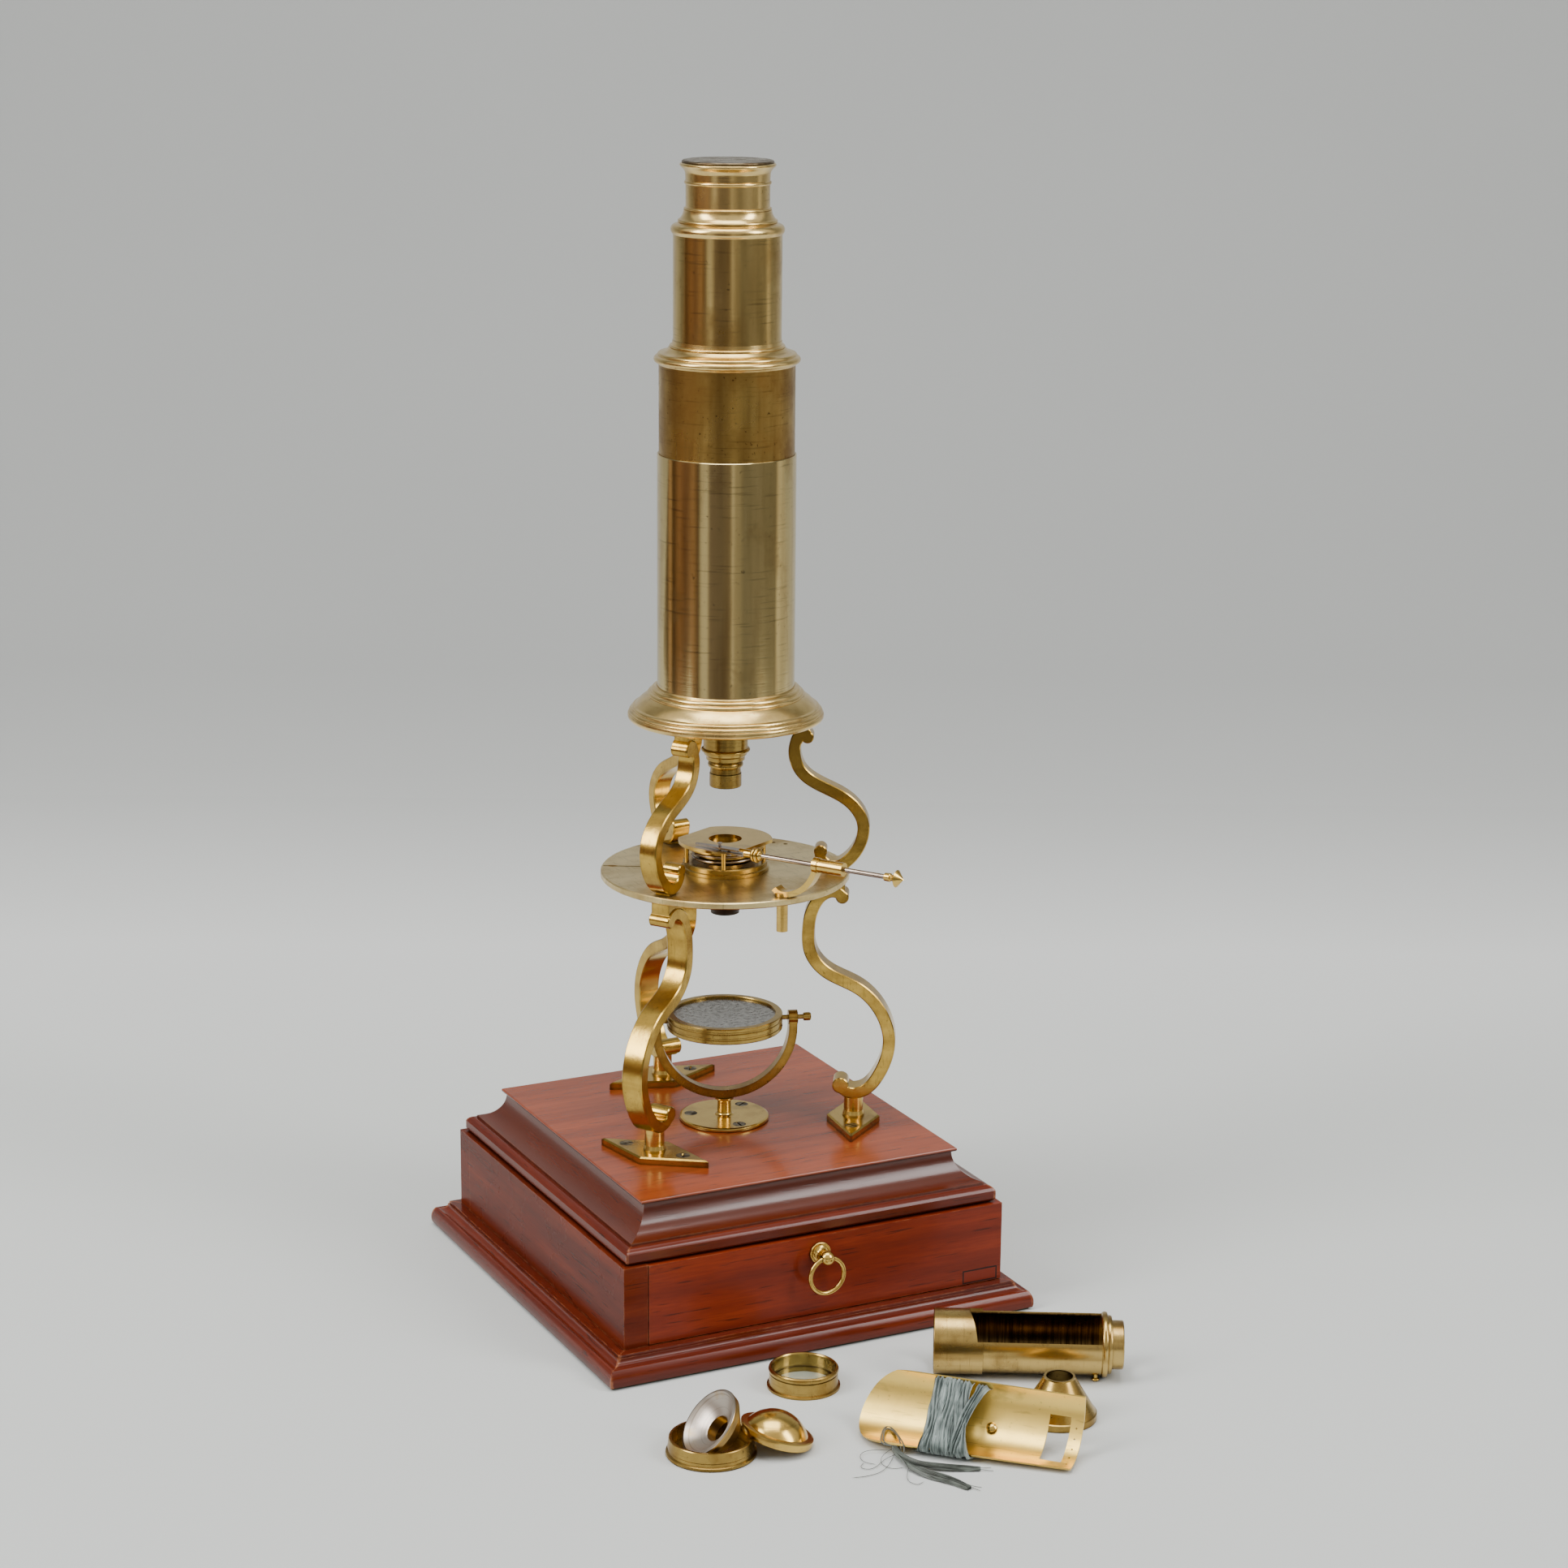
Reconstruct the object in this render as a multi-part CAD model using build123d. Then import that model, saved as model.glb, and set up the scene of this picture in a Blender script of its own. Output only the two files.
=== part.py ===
from build123d import *
import math
import os

# Tripod microscope of brass on a mahogany foot with a drawer, and its loose accessories.
# Millimetres, +Z up. The origin is the middle of the foot's underside, the optical axis is
# the Z axis, and the drawer opens towards -Y.

# ---------------------------------------------------------------- fits and clearances
running = 0.05  # radial clearance of a fit that turns or slides
face_gap = 0.1  # between two faces that turn on each other
drawer_gap = 0.35  # all round the drawer
cloth_gap = 0.3  # between the ribbon and the plate that it is wound on

# ---------------------------------------------------------------- mahogany foot
felt_thick = 1.0
felt_back = 1.2  # the felt stops this far inside the plinth
wall_half_x = 82.0
wall_half_y = 84.5
wall_thick = 10.0
wall_high = 32.7
plinth_out = 9.6  # how far the plinth stands out from the walls
plinth_high = 10.2
bead_high = 6.4
bead_back = 3.2  # the half-round starts this far inside the wall's face
bead_wide = 13.0
slab_high = 13.9
slab_back = 13.5  # the slab's top edge lies this far inside the wall's face
slab_foot_back = 5.5  # the foot of its hollow lies this far inside the wall's face
slab_lip = 1.3

floor_z = felt_thick + plinth_high
wall_top = floor_z + wall_high
slab_z = wall_top + bead_high
foot_top = slab_z + slab_high

# ---------------------------------------------------------------- drawer
drawer_side = 5.0
drawer_deep = 144.0
drawer_board = 3.0  # its bottom
drawer_board_up = 2.0  # height of the bottom above the drawer's lower edge
drawer_top_back = 3.0  # the sides are this much lower than the front
pull_x = 0.8
pull_up = 25.4  # height of the pull above the floor of the foot
rosette_r = 4.4
ball_r = 2.9
ball_out = 6.6
pull_hole_r = 1.5
pull_stem_r = 1.5
pull_ring_r = 7.2  # centre line of the ring
pull_wire_r = 0.95

# ---------------------------------------------------------------- tripod
leg_turns = (94.0, 213.0, 330.5)  # plan angles: back, left and right leg
foot_plate_long = 25.0  # half the long diagonal of the lozenge
foot_plate_wide = 10.7  # half the short diagonal
foot_plate_thick = 3.0
foot_plate_bevel = 1.2
foot_plate_screws = 13.2  # from the leg to each screw
foot_leg_r = 52.4  # from the optical axis to the foot of a leg
leg_post_r = 3.9
leg_post_foot_r = 4.4
lower_bar_wide = 9.2
lower_bar_thick = 5.0
lower_rolls = (2.6, 3.3)  # radii of the rolled ends, at the stage and at the foot
upper_bar_wide = 7.6
upper_bar_thick = 4.8
upper_rolls = (2.5, 2.6)  # at the flange and at the stage
bar_edge = 0.4  # softened long edges
bar_thinned = 0.1  # share of the thickness that is taken off towards the ends
stage_pad = (39.5, 48.0)  # from the axis: the lower legs' faces under the stage
upper_pad = (41.6, 46.4)  # the upper legs' faces on the stage
flange_pad = (28.0, 32.8)  # the upper legs' faces under the flange
pad_back = 0.6  # the pads are this much narrower than the bars on each side

screw_head_r = 2.7
screw_shank_r = 1.3
screw_long = 9.0
screw_slot = 0.7
screw_sink = 1.5

# ---------------------------------------------------------------- stage
stage_z = 166.8  # underside
stage_thick = 2.7
stage_r = 49.6
stage_bore_r = 12.0
slot_turn = 151.0
slot_wide = 0.9
slot_from_r = 31.0
slot_eye_r = 45.0
pin_holes = ((34.5, 26.4), (38.0, 22.4))
pin_hole_r = 0.9
stage_top = stage_z + stage_thick

ring_r = 17.3  # fixed ring of the spring stage
ring_high = 3.8
spigot_long = 1.2
slide_plate_r = 18.7
slide_plate_flat = 15.6  # from the axis to each of its two flats
slide_plate_thick = 1.3
slide_plate_hole_r = 6.6
slide_plate_z = 180.5
slide_plate_turn = -63.0
pillar_r = 0.9
pillar_ring_r = 16.0
press_plate_r = 15.6
press_plate_thick = 1.4
press_plate_skirt = 2.6
press_gap = 0.3
coil_wire_r = 0.55
coil_turns = 2.0

cone_top_r = 13.0  # black cone under the stage
cone_end_r = 5.7
cone_long = 15.4
cone_wall = 1.0

leaf_turn = 141.0
leaf_root = (-24.0, -10.0)
leaf_long = 22.0
leaf_wide = 4.2
leaf_thick = 0.8
leaf_down = 3.8

# ---------------------------------------------------------------- body
flange_z = 231.2
flange_r = 38.7
flange_high = 13.5
body_r = 26.36
socket_wall = 0.65
socket_r = body_r + running + socket_wall
socket_top = 336.4
socket_seat = 2.4
body_wall = 0.8
body_bottom = 238.0
body_top = 370.9
eye_tube_r = 20.94
eye_tube_wall = 0.8
eye_mount_z = 420.3
eye_mount_lap = 3.0
field_lens_r = 20.0
eye_lens_r = 12.0
cap_plug_r = 15.0
cap_r = 17.5
nose_disc = 3.0
nose_r = 8.8
nose_end = 208.9
button_r = 6.35
button_end = 203.5
button_spigot_r = 5.2
button_spigot = 4.6
button_lens_r = 3.0

# ---------------------------------------------------------------- mirror
mirror_foot_r = 18.1
mirror_foot_thick = 1.7
mirror_foot_screws = 13.6
mirror_pillar_r = 2.7
mirror_turn = -18.7  # plan angle of the tilting axis
pivot_z = 106.2
pivot_r = 0.95
pivot_bite = 2.2
cell_r = 23.4
cell_high = 6.4
glass_r = 20.4
glass_thick = 2.4
glass_dish = 0.8
glass_sunk = 1.0  # the glass lies this far below its rim
fork_r = 29.4
fork_thick = 3.4
fork_wide = 5.0
fork_drop = 3.4  # the bow's centre lies this far under the pivots
fork_boss_r = 2.9
fork_pin_r = 1.9
fork_pin_long = 5.0

# ---------------------------------------------------------------- stage forceps
forceps_at = (3.1, -45.0)
forceps_turn = -57.0  # plan angle of the rod, outwards
forceps_pin_r = 2.25
forceps_pin_end = 155.4
rod_z = stage_top + 14.7
rod_r = 0.95
sleeve_r = 2.7
sleeve_from = 15.5
sleeve_to = 27.3
arm_wide = 4.4
arm_thick = 2.2
ferrule_from = -19.2
ferrule_to = -9.3
knob_from = 45.4
jaw_tip = -39.5
jaw_wide = 3.4
jaw_thick = 0.7
jaw_gap = 0.35

# ---------------------------------------------------------------- loose accessories
cell_at = (-23.6, -119.8)
cell_flange_r = 13.9
cell_tall = 8.0
cell_bore_r = 12.0
cell_glass_thick = 1.0

dish_at = (-80.0, -157.6)
dish_r = 16.7
dish_high = 6.7
dish_wall = 1.0
dish_floor = 0.9

reflector_r = 13.3
reflector_deep = 9.0
reflector_hub_r = 8.0
reflector_hole_r = 5.1

lid_r = 13.9
lid_band = 2.8
lid_dome_r = 11.3
lid_high = 9.4
lid_wall = 0.8
lid_tilt = 17.0

trough_at = (-33.2, -173.2)  # where the fish plate's front edge would meet its rounded end's tip
trough_turn = -45.6
trough_long = 82.7
trough_r = 17.5
trough_thick = 0.8
trough_from = -116.4  # angles in the round of the trough, -90 at its lowest line
trough_to = 9.0  # back edge at the wide end
trough_narrow_to = -8.0  # back edge at the narrow end
window_x = (trough_long - 12.8, trough_long - 4.7)  # along the trough
window_turns = (-85.7, -19.1)
stud_x = 49.5
stud_turn = -48.0
ribbon_from = 26.0
ribbon_to = 46.5
ribbon_thick = 1.0
trough_up = cloth_gap + ribbon_thick

tube_at = (27.1, -129.1)
tube_turn = -28.7
tube_r = 11.7
tube_wall = 0.9
tube_long = 64.0
collar_r = 12.5
collar_long = 18.6
neck_r = 9.3
neck_long = 4.6
tube_rib_r = 12.2
tube_cut_from = 22.0  # angles above the level of the axis, at the front and over the top
tube_cut_to = 108.0
tube_cut_start = 13.5  # along the tube, inside the collar

shade_at = (49.1, -185.5)
shade_r = 14.2
shade_band = 3.0
shade_top_r = 5.8
shade_high = 16.6
shade_wall = 0.8


# ---------------------------------------------------------------- helpers
def outline(points):
    """Closed face. A corner is (a, b) or (a, b, bow): a bow swells the side that ends there."""
    edges = []
    start = points[-1]
    for end in points:
        a = Vector(start[0], start[1])
        b = Vector(end[0], end[1])
        if len(end) == 3:
            side = (b - a).rotate(Axis.Z, -90).normalized() * end[2]
            edges.append(ThreePointArc(a, (a + b) * 0.5 + side, b))
        else:
            edges.append(Line(a, b))
        start = end
    return make_face(edges)


def dome(radius, rise):
    """Bow of an arc that runs from this radius to the axis and ends square on it."""
    half = math.atan2(rise, radius)
    return (radius**2 + rise**2) / (2 * rise) * (1 - math.cos(half))


def turned(points):
    """Solid turned about the Z axis from corners (radius, height), listed anticlockwise."""
    return revolve(Plane.XZ * outline(points), Axis.Z)


def rod(radius, low, high):
    return Pos(0, 0, low) * Cylinder(radius, high - low, align=(Align.CENTER, Align.CENTER, Align.MIN))


def pipe(outer, inner, low, high):
    return rod(outer, low, high) - rod(inner, low - 1, high + 1)


def block(x, y, z):
    """Box from three (low, high) pairs."""
    box = Box(x[1] - x[0], y[1] - y[0], z[1] - z[0], align=(Align.MIN,) * 3)
    return Pos(x[0], y[0], z[0]) * box


def around(radius, turn):
    return (radius * math.cos(math.radians(turn)), radius * math.sin(math.radians(turn)))


def screw_blank(x, y, z):
    """Countersunk wood screw without its slot, head flush with height z."""
    head = [(0, -screw_long), (screw_shank_r, -screw_long), (screw_shank_r, -screw_sink)]
    head += [(screw_head_r, -0.2), (screw_head_r, 0), (0, 0)]
    return Pos(x, y, z) * turned(head)


def screw(x, y, z, turn):
    slot = Box(2 * screw_head_r + 1, screw_slot, 1.6)
    return screw_blank(x, y, z) - Pos(x, y, z) * Rot(0, 0, turn) * slot


def mitred_frame(points, half_x, half_y, inside):
    """Four strips round a rectangle, mitred at its corners, from corners (out, height)."""
    strips = []
    reach = max(p[0] for p in points) + 1
    for turn, (a, b) in enumerate(((half_x, half_y), (half_y, half_x)) * 2):
        start = Plane(origin=(a + reach, -b, 0), x_dir=(0, -1, 0), z_dir=(-1, 0, 0))
        strip = extrude(start * outline(points), 2 * (a + reach))
        near = b - inside
        ends = [(-a - reach, -b - reach), (a + reach, -b - reach), (a - inside, -near), (inside - a, -near)]
        wedge = extrude(outline(ends), 2 * foot_top)
        strips.append(Rot(0, 0, 90 * turn) * (strip & wedge))
    return strips


def bent_bar(points, thick, wide, rolls, edge):
    """Flat bar along a smooth centre line in the X-Z plane, thinned and rolled over at its ends."""
    line = Spline(*[Vector(x, z) for x, z in points])
    count = 32
    left = []
    right = []
    for step in range(count + 1):
        near_end = max(0, 1 - min(step, count - step) / 5) if rolls else 0
        middle = line @ (step / count)
        side = (line % (step / count)).rotate(Axis.Z, 90) * (thick / 2 * (1 - bar_thinned * near_end))
        left.append(middle + side)
        right.append(middle - side)
    sides = [Spline(*left), Line(left[-1], right[-1]), Spline(*right[::-1]), Line(right[0], left[0])]
    face = make_face(sides)
    for point, radius in zip((points[0], points[-1]), rolls):
        face += Pos(*point) * Circle(radius)
    bar = extrude(Plane.XZ * face, wide / 2, both=True)
    if edge:
        faces = bar.faces().sort_by(Axis.Y)
        bar = chamfer(faces[0].edges() + faces[-1].edges(), edge)
    return bar


# ---------------------------------------------------------------- mahogany foot
def base_felt():
    x = wall_half_x + plinth_out - felt_back
    y = wall_half_y + plinth_out - felt_back
    return block((-x, x), (-y, y), (0, felt_thick))


def plinth_moulding():
    out = plinth_out
    top = plinth_high
    profile = [(0, 0), (out, 0), (out - 1.2, 0.64 * top, 0.8), (out - 1.8, 0.66 * top)]
    profile += [(4.4, 0.9 * top, -1.1), (3.9, 0.9 * top), (3.9, top), (0, top)]
    return [Pos(0, 0, felt_thick) * s for s in mitred_frame(profile, wall_half_x, wall_half_y, 0)]


def base_floor():
    x = wall_half_x
    y = wall_half_y
    return block((-x, x), (-y, y), (felt_thick, floor_z))


def base_walls():
    x = wall_half_x
    y = wall_half_y
    t = wall_thick
    z = (floor_z, wall_top)
    left = block((-x, t - x), (-y, y - t), z)
    right = block((x - t, x), (t - y, y - t), z)
    back = block((-x, x), (y - t, y), z)
    return [left, right, back]


def top_bead():
    back = bead_back
    profile = [(-bead_wide - back, 0), (-back + 0.3, 0), (-back - 1.1, bead_high, 2.0)]
    profile += [(-bead_wide - back, bead_high)]
    frame = mitred_frame(profile, wall_half_x, wall_half_y, bead_wide + back)
    return [Pos(0, 0, wall_top) * s for s in frame]


def top_board():
    def section(half):
        side = [(half - slab_foot_back, 0), (half - slab_foot_back, 0.9)]
        side += [(half - slab_back - 1.6, slab_high - slab_lip - 0.3, -2.7)]
        side += [(half - slab_back - 1.6, slab_high - slab_lip)]
        side += [(half - slab_back - 0.2, slab_high - slab_lip)]
        side += [(half - slab_back - 0.2, slab_high, 0.25)]
        other = [(-side[-1][0], side[-1][1]), (-side[-2][0], side[-2][1], 0.25)]
        other += [(-side[-3][0], side[-3][1]), (-side[-4][0], side[-4][1])]
        other += [(-side[1][0], side[1][1], -2.7), (-side[0][0], 0)]
        return outline(side + other)

    long = 4 * wall_half_y
    along_y = extrude(Plane.XZ * section(wall_half_x), long / 2, both=True)
    along_x = extrude(Plane.YZ * section(wall_half_y), long / 2, both=True)
    board = Pos(0, 0, slab_z) * (along_x & along_y)
    for spot in screw_spots():
        board -= screw_blank(*spot[:3])
    return board


# ---------------------------------------------------------------- drawer
def drawer_front():
    x = (wall_thick - wall_half_x + drawer_gap, wall_half_x)
    y = (-wall_half_y, wall_thick - wall_half_y - drawer_gap)
    front = block(x, y, (floor_z + drawer_gap, wall_top - drawer_gap))
    forward = Plane(origin=(pull_x, 0, floor_z + pull_up), x_dir=(1, 0, 0), z_dir=(0, -1, 0))
    hole = forward * rod(pull_stem_r, 0, 200)
    return front - hole


def drawer_span():
    x = wall_half_x - wall_thick - drawer_gap
    y0 = wall_thick - wall_half_y - drawer_gap
    return x, y0, y0 + drawer_deep


def drawer_frame():
    x, y0, y1 = drawer_span()
    low = floor_z + drawer_gap
    high = wall_top - drawer_gap - drawer_top_back
    s = drawer_side
    left = block((-x, s - x), (y0, y1), (low, high))
    right = block((x - s, x), (y0, y1), (low, high))
    back = block((s - x, x - s), (y1 - s, y1), (low, high))
    return [left, right, back]


def drawer_bottom():
    x, y0, y1 = drawer_span()
    s = drawer_side
    low = floor_z + drawer_gap + drawer_board_up
    return block((s - x, x - s), (y0, y1 - s), (low, low + drawer_board))


def pull_knob():
    deep = -wall_thick + drawer_gap
    stem = [(0, deep), (pull_stem_r, deep), (pull_stem_r, 0), (rosette_r, 0)]
    stem += [(rosette_r, 0.6), (rosette_r - 0.5, 1.1, 0.15), (rosette_r - 1.3, 0.8, -0.15)]
    stem += [(1.7, 2.4, -0.3), (1.6, ball_out - 2.3), (2.0, ball_out - 2.1)]
    stem += [(0, ball_out + ball_r, dome(2.0, ball_r + 2.1))]
    knob = turned(stem)
    bore = Pos(0, 0, ball_out) * Rot(0, 90, 0) * rod(pull_hole_r, -10, 10)
    face = Plane(origin=(pull_x, -wall_half_y, floor_z + pull_up), x_dir=(1, 0, 0), z_dir=(0, -1, 0))
    return face * (knob - bore)


def pull_ring():
    ring = Rot(90, 0, 0) * Torus(pull_ring_r, pull_wire_r)
    return Pos(pull_x, -wall_half_y - ball_out, floor_z + pull_up - pull_ring_r) * ring


# ---------------------------------------------------------------- tripod
def lower_leg():
    """Scrolled bar from the stage down to the foot, with its face under the stage."""
    r = foot_leg_r
    foot = foot_top + foot_plate_thick
    h = stage_z - foot
    line = [(0.897, 0.928), (0.834, 0.95), (0.762, 0.94), (0.693, 0.899), (0.654, 0.844), (0.641, 0.784)]
    line += [(0.655, 0.702), (0.767, 0.62), (1.027, 0.548), (1.218, 0.434), (1.269, 0.335), (1.19, 0.182)]
    line += [(1.061, 0.111), (0.962, 0.107), (0.9, 0.135)]
    line = [(r * out, foot + h * up) for out, up in line]
    bar = bent_bar(line, lower_bar_thick, lower_bar_wide, lower_rolls, bar_edge)
    return bar + leg_pad(stage_pad, lower_bar_wide, line[0][1], stage_z)


def upper_leg():
    """Scrolled bar from the body flange down to the stage, with a face at either end."""
    r = foot_leg_r
    foot = stage_top
    h = flange_z - foot
    line = [(0.62, 0.894), (0.584, 0.926), (0.537, 0.87), (0.524, 0.78), (0.565, 0.68), (0.74, 0.569)]
    line += [(0.947, 0.469), (1.048, 0.323), (1.023, 0.19), (0.935, 0.084), (0.84, 0.043), (0.752, 0.072)]
    line += [(0.727, 0.14)]
    line = [(r * out, foot + h * up) for out, up in line]
    bar = bent_bar(line, upper_bar_thick, upper_bar_wide, upper_rolls, bar_edge)
    bar += leg_pad(flange_pad, upper_bar_wide, line[0][1], flange_z)
    return bar + leg_pad(upper_pad, upper_bar_wide, foot, line[-3][1])


def leg_pad(reach, wide, low, high):
    """Block that gives a leg a flat face against the plate that it is screwed to."""
    half = wide / 2 - pad_back
    return block(reach, (-half, half), (low, high))


def foot_plates():
    long = foot_plate_long
    wide = foot_plate_wide
    plates = []
    for turn in leg_turns:
        lozenge = outline([(-wide, 0), (0, -long), (wide, 0), (0, long)])
        plate = extrude(lozenge, foot_plate_thick)
        plate = chamfer(plate.faces().sort_by(Axis.Z)[-1].edges(), foot_plate_bevel / 2)
        plate = Rot(0, 0, turn) * Pos(foot_leg_r, 0, foot_top) * plate
        for spot in screw_spots():
            plate -= screw_blank(*spot[:3])
        plates.append(plate)
    return plates


def screw_spots():
    """Centre, height and slot angle of each wood screw in the foot."""
    spots = []
    for turn in leg_turns:
        x, y = around(foot_leg_r, turn)
        for side in (-1, 1):
            dx, dy = around(side * foot_plate_screws, turn + 90)
            spots.append((x + dx, y + dy, foot_top + foot_plate_thick, 35 * side + turn))
    for turn in (33, 152, 271):
        x, y = around(mirror_foot_screws, turn)
        spots.append((x, y, foot_top + mirror_foot_thick, turn))
    return spots


def wood_screws():
    return [screw(*spot) for spot in screw_spots()]


def leg_posts():
    low = foot_top + foot_plate_thick
    profile = [(0, 0), (leg_post_foot_r, 0), (leg_post_foot_r, 0.6)]
    profile += [(leg_post_r, 2.2), (leg_post_r, 10.0), (0, 10.0)]
    post = Pos(foot_leg_r, 0, low) * turned(profile) - lower_leg()
    return [Rot(0, 0, turn) * post for turn in leg_turns]


# ---------------------------------------------------------------- stage
def stage_plate():
    plate = rod(stage_r, stage_z, stage_top) - rod(stage_bore_r, stage_z - 1, stage_top + 1)
    plate = chamfer(plate.faces().filter_by(GeomType.CYLINDER).sort_by(SortBy.AREA)[-1].edges(), 0.4)
    x, y = forceps_at
    plate -= Pos(x, y, 0) * rod(forceps_pin_r + running, stage_z - 1, stage_top + 1)
    slot = block((slot_from_r, stage_r - 0.8), (-slot_wide / 2, slot_wide / 2), (stage_z - 1, stage_top + 1))
    slot += Pos(slot_eye_r, 0, 0) * extrude(outline([(2.6, 0, 1.1), (-2.6, 0, 1.1)]), stage_top + 1)
    plate -= Rot(0, 0, slot_turn) * slot
    for x, y in pin_holes:
        plate -= Pos(x, y, 0) * rod(pin_hole_r, stage_z - 1, stage_top + 1)
    return plate


def spring_stage_ring():
    z = stage_top
    bore = stage_bore_r - 1.4
    fit = stage_bore_r
    profile = [(bore, z - spigot_long), (fit, z - spigot_long), (fit, z), (ring_r, z), (ring_r, z + 1.5)]
    profile += [(ring_r - 0.5, z + 1.9), (ring_r - 0.5, z + ring_high - 0.4)]
    profile += [(ring_r - 0.9, z + ring_high), (bore, z + ring_high)]
    return turned(profile)


def pillar_turns():
    return [slide_plate_turn + 90 + turn for turn in (-35, 35, 180 - 35, 180 + 35)]


def slide_plate():
    disc = rod(slide_plate_r, slide_plate_z, slide_plate_z + slide_plate_thick)
    disc -= rod(slide_plate_hole_r, 0, slide_plate_z + 9)
    flat = slide_plate_flat
    disc &= block((-flat, flat), (-2 * flat, 2 * flat), (0, 2 * slide_plate_z))
    disc = Rot(0, 0, slide_plate_turn) * disc
    for turn in pillar_turns():
        x, y = around(pillar_ring_r, turn)
        disc += Pos(x, y, 0) * rod(pillar_r, stage_top + ring_high, slide_plate_z)
    return disc


def press_plate_top():
    return slide_plate_z - press_gap


def spring_plate():
    high = press_plate_top()
    low = high - press_plate_thick
    bore = slide_plate_hole_r + 1.0
    skirt = press_plate_r - 3.4
    profile = [(bore, low - press_plate_skirt), (skirt, low - press_plate_skirt), (skirt, low)]
    profile += [(press_plate_r, low), (press_plate_r, high), (bore, high)]
    plate = turned(profile)
    for turn in pillar_turns():
        x, y = around(pillar_ring_r, turn)
        plate -= Pos(x, y, 0) * rod(pillar_r + 2 * running, 0, 2 * high)
    return plate


def stage_spring():
    low = stage_top + ring_high + coil_wire_r + running
    high = press_plate_top() - press_plate_thick - coil_wire_r - running
    radius = press_plate_r - 3.4 + coil_wire_r + 0.3
    path = Helix((high - low) / coil_turns, high - low, radius)
    start = Plane(origin=path @ 0, z_dir=path % 0)
    return Pos(0, 0, low) * sweep(start * Circle(coil_wire_r), path)


def substage_cone():
    top = stage_z
    low = top - cone_long
    fit = stage_bore_r
    inner = cone_top_r - cone_wall - 1.4
    profile = [(cone_end_r - cone_wall, low), (cone_end_r, low), (cone_end_r, low + 0.8)]
    profile += [(cone_top_r, top - 1.2), (cone_top_r + 1.2, top - 1.2), (cone_top_r + 1.2, top)]
    profile += [(fit, top), (fit, top + spigot_long), (inner, top + spigot_long), (inner, top - 1.2)]
    return turned(profile)


def stage_leaf():
    x, y = leaf_root
    root = rod(1.9, stage_z - leaf_down, stage_z)
    half = leaf_wide / 2
    line = [(-2.2, -half), (6.0, -half), (leaf_long, 0, 0.7), (6.0, half, 0.7), (-2.2, half), (-2.2, 0)]
    shape = outline(line)
    blade = Pos(0, 0, stage_z - leaf_down - leaf_thick) * extrude(shape, leaf_thick)
    return Pos(x, y, 0) * Rot(0, 0, leaf_turn) * (blade + root)


# ---------------------------------------------------------------- body
def bell_flange():
    z = flange_z
    bore = body_r + running
    r = flange_r
    t = socket_r
    top = flange_high
    rim = [(r - 0.9, 0), (r, 1.2, 0.15), (r - 0.2, 2.6, 0.1)]
    rim += [(r - 0.6, 2.8), (r - 1.3, 4.1, 0.35), (r - 1.7, 4.3)]
    rim += [(r - 2.5, 5.5, 0.35), (r - 3.0, 5.7), (t + 4.2, top - 3.9, 0.3), (t + 3.8, top - 3.7)]
    rim += [(t + 3.0, top - 2.3, 0.4), (t + 2.5, top - 2.1), (t + 1.2, top - 0.7, 0.4), (t + 0.7, top - 0.5)]
    rim += [(t + 0.3, top), (t, top), (t, socket_seat), (bore, socket_seat), (bore, 0)]
    return Pos(0, 0, z) * turned(rim)


def socket_tube():
    tube = pipe(socket_r, body_r + running, flange_z + socket_seat, socket_top)
    return chamfer(tube.faces().sort_by(Axis.Z)[-1].edges().sort_by(SortBy.LENGTH)[-1], 0.25)


def body_tube():
    return pipe(body_r, body_r - body_wall, body_bottom, body_top)


def body_shoulder():
    fit = body_r - body_wall
    r = body_r
    s = eye_tube_r
    ledge = field_lens_r - 1.6
    profile = [(fit, -5.0), (fit, 0), (r + 0.1, 0), (r + 0.7, 0.7), (r + 0.9, 3.3, 1.15), (r + 0.5, 3.5)]
    profile += [(r - 0.5, 4.6, 0.4), (r - 1.0, 4.7), (s + 1.6, 6.5, -0.3), (s + 1.2, 6.6)]
    profile += [(s + 0.6, 7.7, 0.4), (s + 0.3, 7.8), (s + 0.15, 9.2), (s, 9.2)]
    profile += [(s, 2.0), (ledge, 2.0), (ledge, -5.0)]
    return Pos(0, 0, body_top) * turned(profile)


def eye_tube():
    return pipe(eye_tube_r, eye_tube_r - eye_tube_wall, body_top + 2.0, eye_mount_z + eye_mount_lap)


def eyepiece_mount():
    s = eye_tube_r
    n = 16.1
    lens = eye_lens_r
    plug = cap_plug_r + running
    profile = [(s, 0), (s + 0.2, 0.3), (s - 0.4, 3.9, 1.0), (s - 1.3, 4.2), (s - 2.0, 4.6)]
    profile += [(n + 2.3, 5.9, 0.45), (n + 0.8, 9.3, -0.35), (n + 0.5, 9.4), (n + 0.3, 10.3, 0.3), (n, 10.5)]
    profile += [(n, 18.8), (n + 0.3, 19.0), (n + 0.3, 20.2, 0.3), (n + 0.05, 20.4), (n + 0.2, 23.0)]
    profile += [(n + 1.6, 25.2, -0.25), (n + 2.1, 25.7), (n + 2.1, 26.7, 0.2), (n + 1.7, 26.9)]
    profile += [(plug, 26.9), (plug, 23.6), (lens, 23.6)]
    profile += [(lens, 20.0), (lens - 1.5, 20.0), (lens - 1.5, 17.0)]
    profile += [(n - 1.6, 14.0), (n - 1.6, eye_mount_lap), (s, eye_mount_lap)]
    return Pos(0, 0, eye_mount_z) * turned(profile)


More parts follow.
